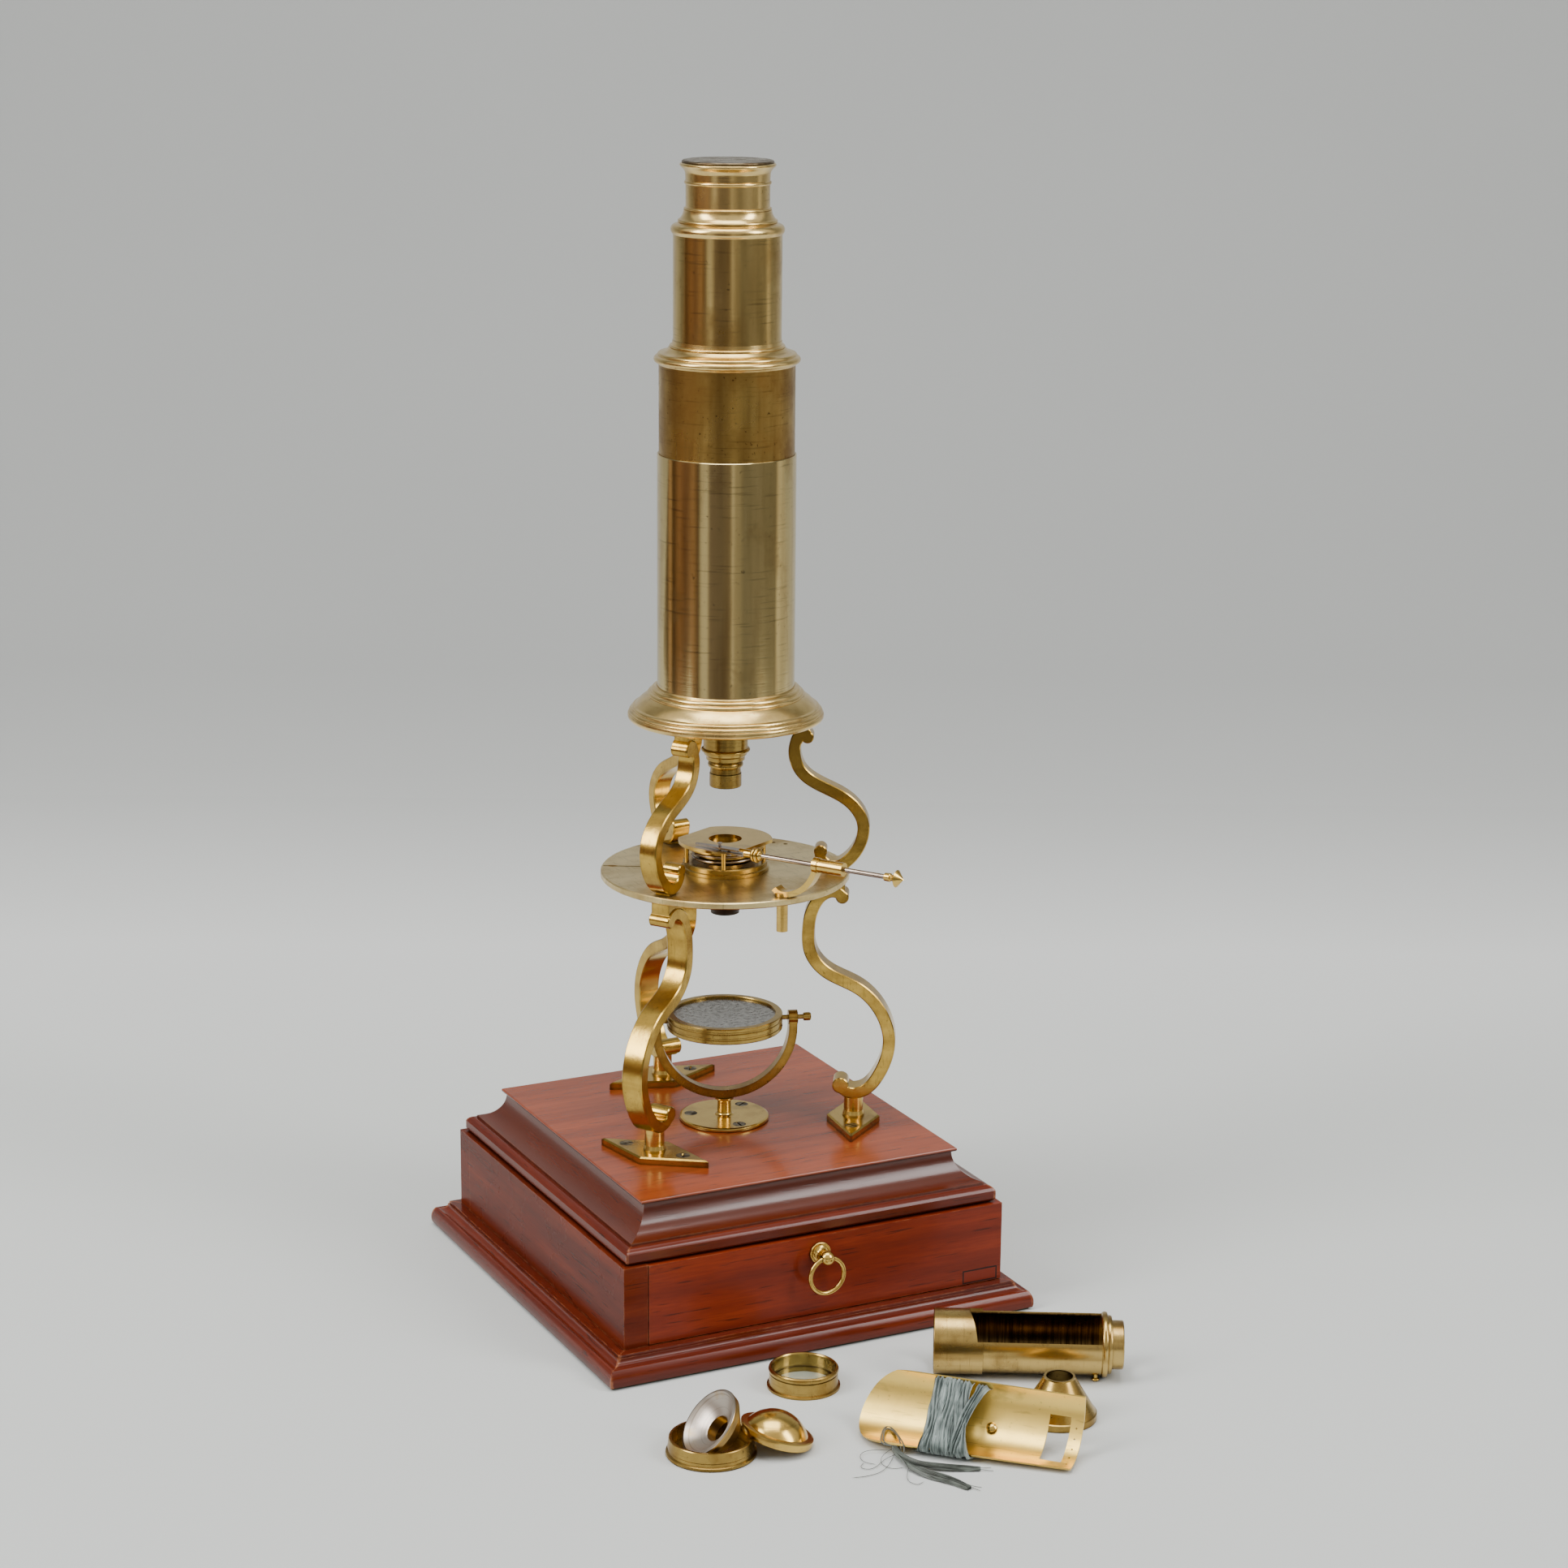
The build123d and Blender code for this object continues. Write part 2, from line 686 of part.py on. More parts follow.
def dust_cap():
    z = eye_mount_z
    low = 23.8
    disc = [(0, low), (cap_plug_r, low), (cap_plug_r, 26.9 + face_gap), (cap_r, 26.9 + face_gap)]
    disc += [(cap_r, 27.6, 0.1), (cap_r - 0.4, 27.9), (0, 27.9)]
    return Pos(0, 0, z) * turned(disc)


def lenses():
    field = Pos(0, 0, body_top + 2.0) * turned(
        [(0, 0), (field_lens_r, 0), (field_lens_r, 1.6), (0, 5.0, dome(field_lens_r, 3.4))]
    )
    r = eye_lens_r
    eye = Pos(0, 0, eye_mount_z + 20.0) * turned([(0, 0), (r, 0), (r, 1.0), (0, 3.2, dome(r, 2.2))])
    return [field, eye]


def nosepiece():
    top = body_bottom
    fit = body_r - body_wall
    bore = button_spigot_r
    end = nose_end
    r = nose_r
    profile = [(bore, end), (r - 3.0, end), (r - 2.7, end + 0.3), (r - 2.8, end + 2.2), (r - 2.3, end + 2.5)]
    profile += [(r - 2.2, end + 4.7, 0.45), (r - 1.2, end + 5.6, -0.1)]
    profile += [(r - 1.1, end + 7.0), (r - 0.4, end + 7.7)]
    profile += [(r - 0.2, end + 8.8), (r + 0.6, end + 9.0), (r + 0.6, end + 10.1, 0.3), (r, end + 10.4)]
    profile += [(r, top - 1.4), (r + 0.3, top - 1.2), (r + 0.3, top), (fit, top), (fit, top + nose_disc)]
    profile += [(bore, top + nose_disc)]
    return turned(profile)


def objective_button():
    low = button_end
    top = nose_end
    bore = button_lens_r
    profile = [(1.6, low), (button_r - 0.3, low), (button_r, low + 0.3)]
    profile += [(button_r, top), (button_spigot_r, top)]
    profile += [(button_spigot_r, top + button_spigot), (bore, top + button_spigot)]
    profile += [(bore, low + 1.2), (1.6, low + 1.2)]
    return turned(profile)


def objective_lens():
    r = button_lens_r
    return Pos(0, 0, button_end + 1.2) * turned([(0, 0), (r, 0), (r, 0.7), (0, 1.7, dome(r, 1.0))])


# ---------------------------------------------------------------- mirror
def mirror_foot():
    z = foot_top
    t = mirror_foot_thick
    r = mirror_pillar_r
    high = fork_low() - face_gap
    bore = fork_pin_r + running
    deep = fork_pin_long + 0.6
    profile = [(0, z), (mirror_foot_r - 0.2, z)]
    profile += [(mirror_foot_r, z + 0.3), (mirror_foot_r - 0.1, t + z - 0.3, 0.1)]
    profile += [(mirror_foot_r - 0.8, z + t), (r + 1.4, z + t), (r + 0.1, z + t + 1.6, -0.4), (r, high - 1.6)]
    profile += [(r + 1.1, high - 0.7, -0.3), (r + 1.1, high), (bore, high)]
    profile += [(bore, high - deep), (0, high - deep)]
    foot = turned(profile)
    for spot in screw_spots():
        foot -= screw_blank(*spot[:3])
    return foot


def fork_low():
    return pivot_z - fork_drop - fork_r


def fork_place():
    return Pos(0, 0, pivot_z) * Rot(0, 0, mirror_turn)


def mirror_fork():
    outer = fork_r
    inner = fork_r - fork_thick
    drop = fork_drop
    sides = [(outer, -drop), (outer, 0), (inner, 0), (inner, -drop)]
    bow = Pos(0, -drop) * (Circle(outer) - Circle(inner))
    bow -= Pos(0, outer - drop) * Rectangle(3 * outer, 2 * outer)
    face = bow + outline(sides) + outline([(-x, y) for x, y in sides[::-1]])
    fork = extrude(Plane.XZ * face, fork_wide / 2, both=True)
    for side in (-1, 1):
        middle = side * (outer - fork_thick / 2)
        half = fork_thick / 2 + 0.2
        boss = Pos(middle, 0, 0) * Rot(0, 90, 0) * rod(fork_boss_r, -half, half)
        fork += boss
    fork -= Rot(0, 90, 0) * rod(pivot_r, -2 * outer, 2 * outer)
    fork += rod(fork_pin_r, -drop - outer - fork_pin_long, -drop - outer + 0.2)
    return fork_place() * fork


def mirror_pivots():
    """Two screws through the fork whose plain ends carry the mirror."""
    inner = cell_r - pivot_bite + running
    out = fork_r + 2.6
    knob = [(0, inner), (pivot_r, inner), (pivot_r, out), (1.5, out), (1.7, out + 0.5), (1.7, out + 2.6)]
    knob += [(1.4, out + 3.1), (0, out + 3.1)]
    right = Rot(0, 90, 0) * turned(knob)
    left = Rot(0, -90, 0) * turned(knob)
    return [fork_place() * right, fork_place() * left]


def mirror_cell():
    h = cell_high / 2
    r = cell_r
    g = glass_r
    seat = h - glass_sunk - glass_thick
    profile = [(g - 1.4, -h), (r - 0.3, -h), (r, -h + 0.4)]
    profile += [(r, -h + 1.5), (r - 0.35, -h + 1.8), (r - 0.35, -h + 2.3)]
    profile += [(r, -h + 2.6), (r, h - 2.4), (r - 0.35, h - 2.1)]
    profile += [(r - 0.35, h - 1.6), (r, h - 1.3), (r, h - 0.4)]
    profile += [(r - 0.4, h), (g + 0.2, h), (g, h - 0.3), (g, seat), (g - 1.4, seat)]
    cell = turned(profile)
    for turn in (90, -90):
        cell -= Rot(0, turn, 0) * rod(pivot_r + running, r - pivot_bite, 2 * r)
    return fork_place() * cell


def mirror_glass():
    t = glass_thick
    low = cell_high / 2 - glass_sunk - t
    profile = [(0, low), (glass_r, low)]
    profile += [(glass_r, low + t), (0, low + t - glass_dish, -dome(glass_r, glass_dish))]
    return fork_place() * turned(profile)


# ---------------------------------------------------------------- stage forceps
def forceps_place():
    """Vertical plane of the rod: local X runs outwards along the rod, local Z is up."""
    return Pos(forceps_at[0], forceps_at[1], 0) * Rot(0, 0, forceps_turn)


def along_rod(solid):
    """Turns a solid built about Z so that it lies along the rod, with Z outwards."""
    return forceps_place() * Pos(0, 0, rod_z) * Rot(0, 90, 0) * solid


def forceps_bracket():
    top = stage_top + face_gap
    low = forceps_pin_end
    pin = rod(forceps_pin_r, low, top + 1.0)
    pin += rod(forceps_pin_r + 0.7, top, top + 1.4)
    start = top + arm_thick / 2 + 0.3
    line = [(-2.6, start + 1.6), (0, start), (4.8, start + 0.5), (10.0, start + 3.2), (13.6, start + 7.4)]
    line += [(sleeve_from - 0.2, rod_z - sleeve_r + 0.6)]
    arm = bent_bar(line, arm_thick, arm_wide, (), 0)
    sleeve = Pos(0, 0, rod_z) * Rot(0, 90, 0) * rod(sleeve_r, sleeve_from, sleeve_to)
    collar = Pos(0, 0, rod_z) * Rot(0, 90, 0) * rod(sleeve_r + 0.35, sleeve_from - 1.3, sleeve_from + 0.9)
    solid = pin + arm + collar + sleeve
    solid -= Pos(0, 0, rod_z) * Rot(0, 90, 0) * rod(rod_r + running, sleeve_from - 9, sleeve_to + 9)
    slit = block((sleeve_from + 2.4, sleeve_to + 1), (0, 2 * sleeve_r), (rod_z - 0.3, rod_z + 0.3))
    return forceps_place() * (solid - slit)


def forceps_rod():
    return along_rod(rod(rod_r, ferrule_from + 5.0, knob_from + 2.0))


def forceps_ends():
    """Brass knob at the outer end and ringed ferrule at the jaws' end."""
    k = knob_from
    knob = [(rod_r, k), (1.6, k, 0.2), (1.7, k + 2.2), (1.2, k + 2.7), (1.3, k + 3.4), (3.4, k + 5.0)]
    knob += [(0, k + 8.0), (0, k + 2.0), (rod_r, k + 2.0)]
    a = ferrule_from
    b = ferrule_to
    ferrule = [(0, a), (1.7, a), (1.6, a + 5.2), (2.4, b - 4.0), (2.4, b - 3.0, 0.3), (1.9, b - 2.8)]
    ferrule += [(2.7, b - 2.4), (2.7, b - 1.5, 0.3), (1.9, b - 1.3), (2.0, b - 0.4, 0.2), (rod_r, b)]
    ferrule += [(rod_r, a + 5.0), (0, a + 5.0)]
    head = turned(ferrule)
    slot = block((-jaw_gap - jaw_thick, jaw_gap + jaw_thick), (-jaw_wide / 2, jaw_wide / 2), (a - 1, a + 2.4))
    return [along_rod(turned(knob)), along_rod(head - slot)]


def jaw(side):
    """One leaf of the forceps, above (+1) or below (-1) the rod's line."""
    a = ferrule_from
    half = jaw_wide / 2
    root = a + (2.4 if side < 0 else 0.0) - (0 if side < 0 else face_gap)
    shape = [(jaw_tip, -0.5), (a - 9.0, -half), (root, -half), (root, half), (a - 9.0, half), (jaw_tip, 0.5)]
    leaf = extrude(outline(shape), jaw_thick)
    low = jaw_gap if side > 0 else -jaw_gap - jaw_thick
    leaf = Pos(0, 0, low) * leaf
    carried = a - (9.3 if side < 0 else 5.1)  # this leaf's own button
    passed = a - (5.1 if side < 0 else 9.3)  # hole for the other leaf's button
    leaf -= Pos(passed, 0, 0) * rod(0.75, -3, 3)
    far = 2.6 if side < 0 else 2.0
    stem = rod(0.5, jaw_gap + jaw_thick / 2, far - 0.4) + rod(0.95, far - 0.5, far)
    if side > 0:
        stem = Rot(180, 0, 0) * stem
        stem = stem + rod(0.5, -far + 0.4, jaw_gap + 0.1)
    else:
        stem = stem + rod(0.5, -jaw_gap - 0.1, far - 0.4)
    leaf += Pos(carried, 0, 0) * stem
    return forceps_place() * Pos(0, 0, rod_z) * leaf


# ---------------------------------------------------------------- loose accessories
def live_box():
    r = cell_flange_r
    g = cell_bore_r
    profile = [(g - 0.6, 0), (r, 0), (r, 0.9), (r - 0.8, 1.2), (r - 0.9, 5.6), (r - 1.3, 5.8), (r - 1.3, 6.1)]
    profile += [(r - 0.7, 6.3), (r - 0.7, cell_tall - 0.4, 0.15), (r - 1.1, cell_tall), (g + 0.3, cell_tall)]
    profile += [(g, cell_tall - 0.5), (g, 1.8), (g - 0.6, 1.8)]
    return Pos(*cell_at, 0) * turned(profile)


def live_box_glass():
    return Pos(*cell_at, 0) * rod(cell_bore_r, 1.8, 1.8 + cell_glass_thick)


def dish():
    r = dish_r
    w = dish_wall
    profile = [(0, 0), (r - 0.3, 0), (r, 0.5), (r - 0.2, 1.2), (r - 1.0, 1.6), (r - 1.1, 2.6), (r - 0.8, 3.0)]
    profile += [(r - 1.2, dish_high - 0.3), (r - 1.4, dish_high), (r - 1.3 - w, dish_high)]
    profile += [(r - 1.5 - w, dish_floor), (0, dish_floor)]
    return Pos(*dish_at, 0) * turned(profile)


def reflector():
    """Silvered cone in a brass mount, leaning in the dish on its rim."""
    r = reflector_r
    d = reflector_deep
    h = reflector_hole_r
    hub = reflector_hub_r
    profile = [(h, 0), (hub - 0.4, 0), (hub, 0.5), (r - 0.4, d - 3.0), (r - 0.4, d - 1.4), (r, d - 1.2)]
    profile += [(r, d - 0.2, 0.1), (r - 0.9, d), (h + 0.5, d - 4.5, -0.4), (h, d - 4.8)]
    facing = Vector(-0.756, 0.03, 0.653).normalized()
    down = (facing * facing.Z - Vector(0, 0, 1)).normalized()
    back = facing * -d
    reach = 3.0 * facing.Z - (r - 0.4) * down.Z
    rim = Vector(dish_at[0] - 1.6, dish_at[1] - 0.7, dish_floor + 0.05 + reach)
    return Plane(origin=rim + back, x_dir=down, z_dir=facing) * turned(profile)


def lid():
    """Domed cap that leans on the dish's rim."""
    r = lid_r
    b = lid_band
    e = lid_dome_r
    w = lid_wall
    outer = [(r - w, 0), (r - 0.1, 0), (r, 0.4), (r - 0.1, b - 0.2, 0.1), (r - 0.7, b), (e + 0.2, b + 0.2)]
    outer += [(0, lid_high, dome(e + 0.2, lid_high - b - 0.2)), (0, lid_high - w)]
    outer += [(e - w, b - 0.3, -dome(e - w, lid_high - w - b + 0.3)), (r - w, b - w)]
    to_dish = 168.0
    plane = Rot(0, 0, to_dish) * Rot(0, -lid_tilt, 0)
    reach = dish_r + 7.2
    dx, dy = around(reach, to_dish - 180)
    lift = r * math.sin(math.radians(lid_tilt)) + 0.15
    return Pos(dish_at[0] + dx, dish_at[1] + dy, lift) * plane * turned(outer)


def trough_place():
    """Local X runs along the trough, local Y across it, Z up; the front edge is at Y = 0."""
    return Pos(*trough_at, trough_up) * Rot(0, 0, trough_turn)


def trough_middle():
    """Centre of the trough's round in its own Y-Z plane."""
    return (-trough_r * math.cos(math.radians(trough_from)), trough_r)


def trough_arc(radius_out, radius_in, start, stop):
    """Sector of a ring in the Y-Z plane of the trough."""
    middle = trough_middle()

    def spot(radius, turn):
        x, y = around(radius, turn)
        return (middle[0] + x, middle[1] + y)

    half = math.radians(stop - start) / 2
    bow_out = radius_out * (1 - math.cos(half))
    bow_in = radius_in * (1 - math.cos(half))
    a, b = spot(radius_in, start), spot(radius_out, start)
    c, d = spot(radius_out, stop), spot(radius_in, stop)
    return outline([b, (*c, bow_out), d, (*a, -bow_in)])


def along_trough(face, start, stop):
    return extrude(Plane(origin=(start, 0, 0), x_dir=(0, 1, 0), z_dir=(1, 0, 0)) * face, stop - start)


def back_edge(x):
    """Angle of the back edge, which is cut straight from the round end to the narrow one."""
    middle = (trough_from + trough_to) / 2
    wide = math.sin(math.radians(trough_to - middle))
    narrow = math.sin(math.radians(trough_narrow_to - middle))
    start = trough_r * math.radians(trough_to - middle)
    share = (x - start) / (trough_long - start)
    return middle + math.degrees(math.asin(wide + (narrow - wide) * share))


def fish_plate():
    """Tapered trough, cut from a round-ended sheet, with a window and sewing holes at its narrow end."""
    middle = (trough_from + trough_to) / 2
    wall = trough_arc(trough_r, trough_r - trough_thick, trough_from, trough_to)
    plate = along_trough(wall, 0, trough_long)
    # the cut is drawn square to the trough's middle line, its round end as an arc in the flat sheet
    half = math.radians(trough_to - trough_from) / 2
    end_r = trough_r * half
    end = []
    for step in range(-6, 7):
        turn = half * step / 6
        inwards = end_r - math.sqrt(end_r**2 - (trough_r * turn) ** 2)
        end.append(Vector(inwards, trough_r * math.sin(turn)))
    narrow = trough_r * math.sin(math.radians(trough_narrow_to - middle))
    corners = [end[-1], Vector(trough_long, narrow), Vector(trough_long, end[0].Y), end[0]]
    shape = make_face([Spline(*end)] + [Line(a, b) for a, b in zip(corners, corners[1:])])
    centre = trough_middle()
    facing = around(1, middle)
    plane = Plane(origin=(0, *centre), x_dir=(1, 0, 0), z_dir=(0, *facing))
    plate &= extrude(plane * shape, 2 * trough_r)
    plate -= along_trough(trough_arc(trough_r + 2, trough_r - 3, *window_turns), *window_x)
    for turn in (-88, -74, -60, -46, -32):
        hole = Pos(trough_long - 2.4, *centre) * Rot(turn + 90, 0, 0) * rod(0.35, -30, -10)
        plate -= hole
    return trough_place() * plate


def fish_stud():
    centre = trough_middle()
    inner = trough_r - trough_thick
    stud = turned([(0, 0), (1.0, 0), (1.0, 0.7), (1.9, 0.8), (1.9, 1.3), (0, 2.1, dome(1.9, 0.8))])
    x, y = around(inner, stud_turn)
    facing = around(-1, stud_turn)
    seat = Plane(origin=(stud_x, centre[0] + x, centre[1] + y), x_dir=(1, 0, 0), z_dir=(0, *facing))
    hull = along_trough(trough_arc(trough_r + 1, inner, trough_from, trough_to), 0, trough_long)
    return trough_place() * (seat * Pos(0, 0, -0.05) * stud - hull)


def ribbon():
    """Silk ribbon wound round the trough, and its loose end on the table."""
    near = cloth_gap
    far = cloth_gap + ribbon_thick
    start = trough_from
    stop = back_edge(ribbon_from)
    half = math.radians(stop - start) / 2
    # the plate's inner corner stands this much above the chord between its edges
    inner = trough_r - trough_thick
    rise = trough_r * math.cos(half) - math.sqrt(inner**2 - (trough_r * math.sin(half)) ** 2)

    def loop(extra):
        """D-shape round the trough: its arc below and a straight run across its top."""
        middle = trough_middle()
        radius = trough_r + extra
        a = around(radius, start - math.degrees(extra / radius))
        b = around(radius, stop + math.degrees(extra / radius))
        up = Vector(a[1] - b[1], b[0] - a[0]).normalized() * (extra + rise)
        a = (a[0] + middle[0], a[1] + middle[1])
        b = (b[0] + middle[0], b[1] + middle[1])
        c = (b[0] + up.X, b[1] + up.Y)
        d = (a[0] + up.X, a[1] + up.Y)
        bow = radius * (1 - math.cos(half + extra / radius))
        return outline([a, (*b, bow), c, d])

    band = along_trough(loop(far), ribbon_from, ribbon_to)
    band -= along_trough(loop(near), ribbon_from - 1, ribbon_to + 1)
    tail = [(-20.0, -190.0), (-17.0, -196.0), (-13.0, -208.5), (-8.5, -221.0), (-3.5, -219.0), (-6.0, -211.0)]
    tail += [(0.6, -213.5), (2.6, -208.5), (-6.0, -199.5), (-2.9, -195.4), (-7.7, -190.3), (-11.0, -193.0)]
    tail += [(-13.6, -191.0), (-17.0, -187.5)]
    return trough_place() * band + extrude(outline(tail), ribbon_thick)


def cut_tube():
    """Tube lying on its side, open along part of its length, with a collar and a threaded neck."""
    w = tube_wall
    inner = tube_r - w
    neck_bore = neck_r - 1.2
    end = tube_long + 3.5
    profile = [(inner, 0), (collar_r - 0.2, 0), (collar_r, 0.3)]
    profile += [(collar_r, collar_long), (tube_r, collar_long)]
    profile += [(tube_r, tube_long - 0.4), (tube_rib_r, tube_long), (tube_rib_r, tube_long + 1.8, 0.3)]
    profile += [(tube_r - 0.6, tube_long + 2.2), (tube_r - 0.8, end, 0.15), (neck_r, end + 0.2)]
    profile += [(neck_r, end + neck_long - 0.4), (neck_r - 0.4, end + neck_long)]
    profile += [(neck_bore, end + neck_long), (neck_bore, tube_long + 1.5), (inner, tube_long + 1.5)]
    solid = turned(profile)
    big = 2 * collar_r
    # local X of the section points to the front of the tube and local -Y up
    wedge = [(0, 0)]
    wedge += [around(big, -turn) for turn in (tube_cut_to, (tube_cut_from + tube_cut_to) / 2, tube_cut_from)]
    cut = Pos(0, 0, tube_cut_start) * extrude(outline(wedge), tube_long - 0.4 - tube_cut_start)
    # the cut's end slopes: it starts further along at the front than at the top
    slope = [(0, tube_cut_start - 1), (big, tube_cut_start - 1)]
    slope += [(big, tube_cut_start + 6.5), (0, tube_cut_start)]
    cut -= extrude(Plane.XZ * outline(slope), big)
    solid -= cut
    across = (*around(-1, tube_turn + 90), 0)
    lay = Plane(origin=(*tube_at, collar_r), x_dir=across, z_dir=(*around(1, tube_turn), 0))
    return lay * solid


def tube_foot():
    """Small round-headed screw that the lying tube rests on."""
    ball = turned([(0, 0), (1.0, 0), (1.5, 0.6, 0.1), (1.2, 1.2, 0.1), (0.8, 1.3), (0.8, 2.7), (0, 2.7)])
    x, y = around(tube_long - 2.4, tube_turn)
    dx, dy = around(5.5, tube_turn - 90)
    low = Pos(tube_at[0] + x + dx, tube_at[1] + y + dy, 0) * ball
    return low - cut_tube()


def cone_shade():
    r = shade_r
    w = shade_wall
    h = shade_high
    t = shade_top_r
    profile = [(r - w, 0), (r - 0.2, 0), (r, 0.3), (r, shade_band - 0.3), (r - 0.4, shade_band), (t, h - 0.5)]
    profile += [(t, h), (t - w, h), (t - w, h - 0.4), (r - 0.4 - w, shade_band)]
    return Pos(*shade_at, 0) * turned(profile)


# ---------------------------------------------------------------- write the parts
leg_names = ("back", "left", "right")
parts = {
    "base_felt": base_felt(),
    "plinth_moulding": plinth_moulding(),
    "base_floor": base_floor(),
    "base_walls": base_walls(),
    "top_bead": top_bead(),
    "top_board": top_board(),
    "drawer_front": drawer_front(),
    "drawer_frame": drawer_frame(),
    "drawer_bottom": drawer_bottom(),
    "pull_knob": pull_knob(),
    "pull_ring": pull_ring(),
    "foot_plates": foot_plates(),
    "wood_screws": wood_screws(),
    "leg_posts": leg_posts(),
    "stage_plate": stage_plate(),
    "spring_stage_ring": spring_stage_ring(),
    "slide_plate": slide_plate(),
    "spring_plate": spring_plate(),
    "stage_spring": stage_spring(),
    "substage_cone": substage_cone(),
    "stage_leaf": stage_leaf(),
    "bell_flange": bell_flange(),
    "socket_tube": socket_tube(),
    "body_tube": body_tube(),
    "body_shoulder": body_shoulder(),
    "eye_tube": eye_tube(),
    "eyepiece_mount": eyepiece_mount(),
    "dust_cap": dust_cap(),
    "lenses": lenses(),
    "nosepiece": nosepiece(),
    "objective_button": objective_button(),
    "objective_lens": objective_lens(),
    "mirror_foot": mirror_foot(),
    "mirror_fork": mirror_fork(),
    "mirror_pivots": mirror_pivots(),
    "mirror_cell": mirror_cell(),
    "mirror_glass": mirror_glass(),
    "forceps_bracket": forceps_bracket(),
    "forceps_rod": forceps_rod(),
    "forceps_ends": forceps_ends(),
    "forceps_fixed_jaw": jaw(-1),
    "forceps_spring_jaw": jaw(1),
    "live_box": live_box(),
    "live_box_glass": live_box_glass(),
    "dish": dish(),
    "reflector": reflector(),
    "lid": lid(),
    "fish_plate": fish_plate(),
    "fish_stud": fish_stud(),
    "ribbon": ribbon(),
    "cut_tube": cut_tube(),
    "tube_foot": tube_foot(),
    "cone_shade": cone_shade(),
}
for name, turn in zip(leg_names, leg_turns):
    parts["lower_leg_" + name] = Rot(0, 0, turn) * lower_leg()
    parts["upper_leg_" + name] = Rot(0, 0, turn) * upper_leg()

os.makedirs("parts", exist_ok=True)
for name, shape in parts.items():
    solids = shape if isinstance(shape, list) else [shape]
    flat = [solid for piece in solids for solid in piece.solids()]
    export_step(flat[0] if len(flat) == 1 else Compound(children=flat), f"parts/{name}.step")
print(len(parts), "nodes")
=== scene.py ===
# %% [markdown]
# # A brass tripod microscope on a mahogany foot
# The solid pieces come from the CAD model as a fixed frame. They keep their exact shapes, and
# this lesson gives each one the finish of the real thing. The silk ribbon is the one soft piece,
# so it is made here as cloth. A wire spring under the stage's press plate is the one
# other piece made here. Everything is in metres, with Z up along the tube.

import math

import bmesh
import bpy
import numpy as np
from mathutils import Matrix, Vector


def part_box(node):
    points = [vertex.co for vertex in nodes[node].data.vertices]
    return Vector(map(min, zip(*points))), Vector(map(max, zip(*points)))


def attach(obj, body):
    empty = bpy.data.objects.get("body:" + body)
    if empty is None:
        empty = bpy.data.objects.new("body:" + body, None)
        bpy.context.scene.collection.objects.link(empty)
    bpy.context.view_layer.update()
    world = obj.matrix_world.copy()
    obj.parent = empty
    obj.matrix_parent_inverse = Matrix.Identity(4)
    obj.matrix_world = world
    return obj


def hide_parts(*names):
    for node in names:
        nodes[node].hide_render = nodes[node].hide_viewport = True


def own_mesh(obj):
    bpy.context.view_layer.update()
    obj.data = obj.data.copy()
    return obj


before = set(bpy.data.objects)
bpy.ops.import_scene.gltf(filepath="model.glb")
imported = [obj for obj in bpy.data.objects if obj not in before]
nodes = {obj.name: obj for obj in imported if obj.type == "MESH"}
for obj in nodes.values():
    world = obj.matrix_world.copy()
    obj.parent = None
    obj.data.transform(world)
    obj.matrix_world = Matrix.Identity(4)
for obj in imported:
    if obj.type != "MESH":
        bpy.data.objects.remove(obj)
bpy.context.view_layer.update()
MM = 0.001
print(len(nodes), "nodes in the frame")

# %% [markdown]
# ## Colours and nodes
# A material is a small graph of nodes. One helper turns a hex colour, as a paint chart gives it,
# into the linear light that the renderer works in. Another adds any node with its settings and
# links, so that a graph reads as a list of what each step does.


# %% Colours
def linear(code):
    """Linear RGBA of an sRGB hex colour.

    A dark channel is divided by 12.92. A brighter one c becomes ((c + 0.055) / 1.055) to the 2.4.
    """
    channels = [int(code[i:i + 2], 16) / 255 for i in (1, 3, 5)]
    return tuple(c / 12.92 if c <= 0.04045 else ((c + 0.055) / 1.055) ** 2.4 for c in channels) + (1.0,)


# %% Nodes
def add(tree, kind, inputs=None, out=0, stops=(), **settings):
    """Adds a node and returns one of its outputs.

    inputs maps a socket's name or number to a value, a hex colour or another node's output, and
    stops are the (position, tone) pairs of a colour ramp, each tone a hex colour or a grey.
    """
    node = tree.nodes.new("ShaderNode" + kind)
    for key, value in settings.items():
        setattr(node, key, value)
    for key, value in (inputs or {}).items():
        if isinstance(value, bpy.types.NodeSocket):
            tree.links.new(value, node.inputs[key])
        else:
            node.inputs[key].default_value = linear(value) if isinstance(value, str) else value
    if stops:
        elements = node.color_ramp.elements
        while len(elements) < len(stops):
            elements.new(0.5)
        for element, (position, tone) in zip(elements, stops):
            element.position = position
            element.color = linear(tone) if isinstance(tone, str) else (tone, tone, tone, 1)
    return node.outputs[out] if node.outputs else None


# %% Materials
def new_material(name):
    """Empty node material; returns it with its tree and its object coordinates."""
    material = bpy.data.materials.new(name)
    material.use_nodes = True
    material.node_tree.nodes.clear()
    tree = material.node_tree
    return material, tree, add(tree, "TexCoord", out="Object")


def finished(material, tree, shader):
    """Joins the shader to the material's output."""
    add(tree, "OutputMaterial", {"Surface": shader})
    print("material", material.name)
    return material


def per(size_mm):
    """Scale of a pattern whose blobs are about size_mm wide."""
    return 1000 / size_mm


def closed_in(tree, reach_mm, stops, **settings):
    """Ramp over how open a point is: the share of its rays that meet nothing within reach_mm."""
    open_air = add(tree, "AmbientOcclusion", {"Distance": reach_mm * MM}, out="AO", samples=4, **settings)
    return add(tree, "ValToRGB", {0: open_air}, stops=stops)


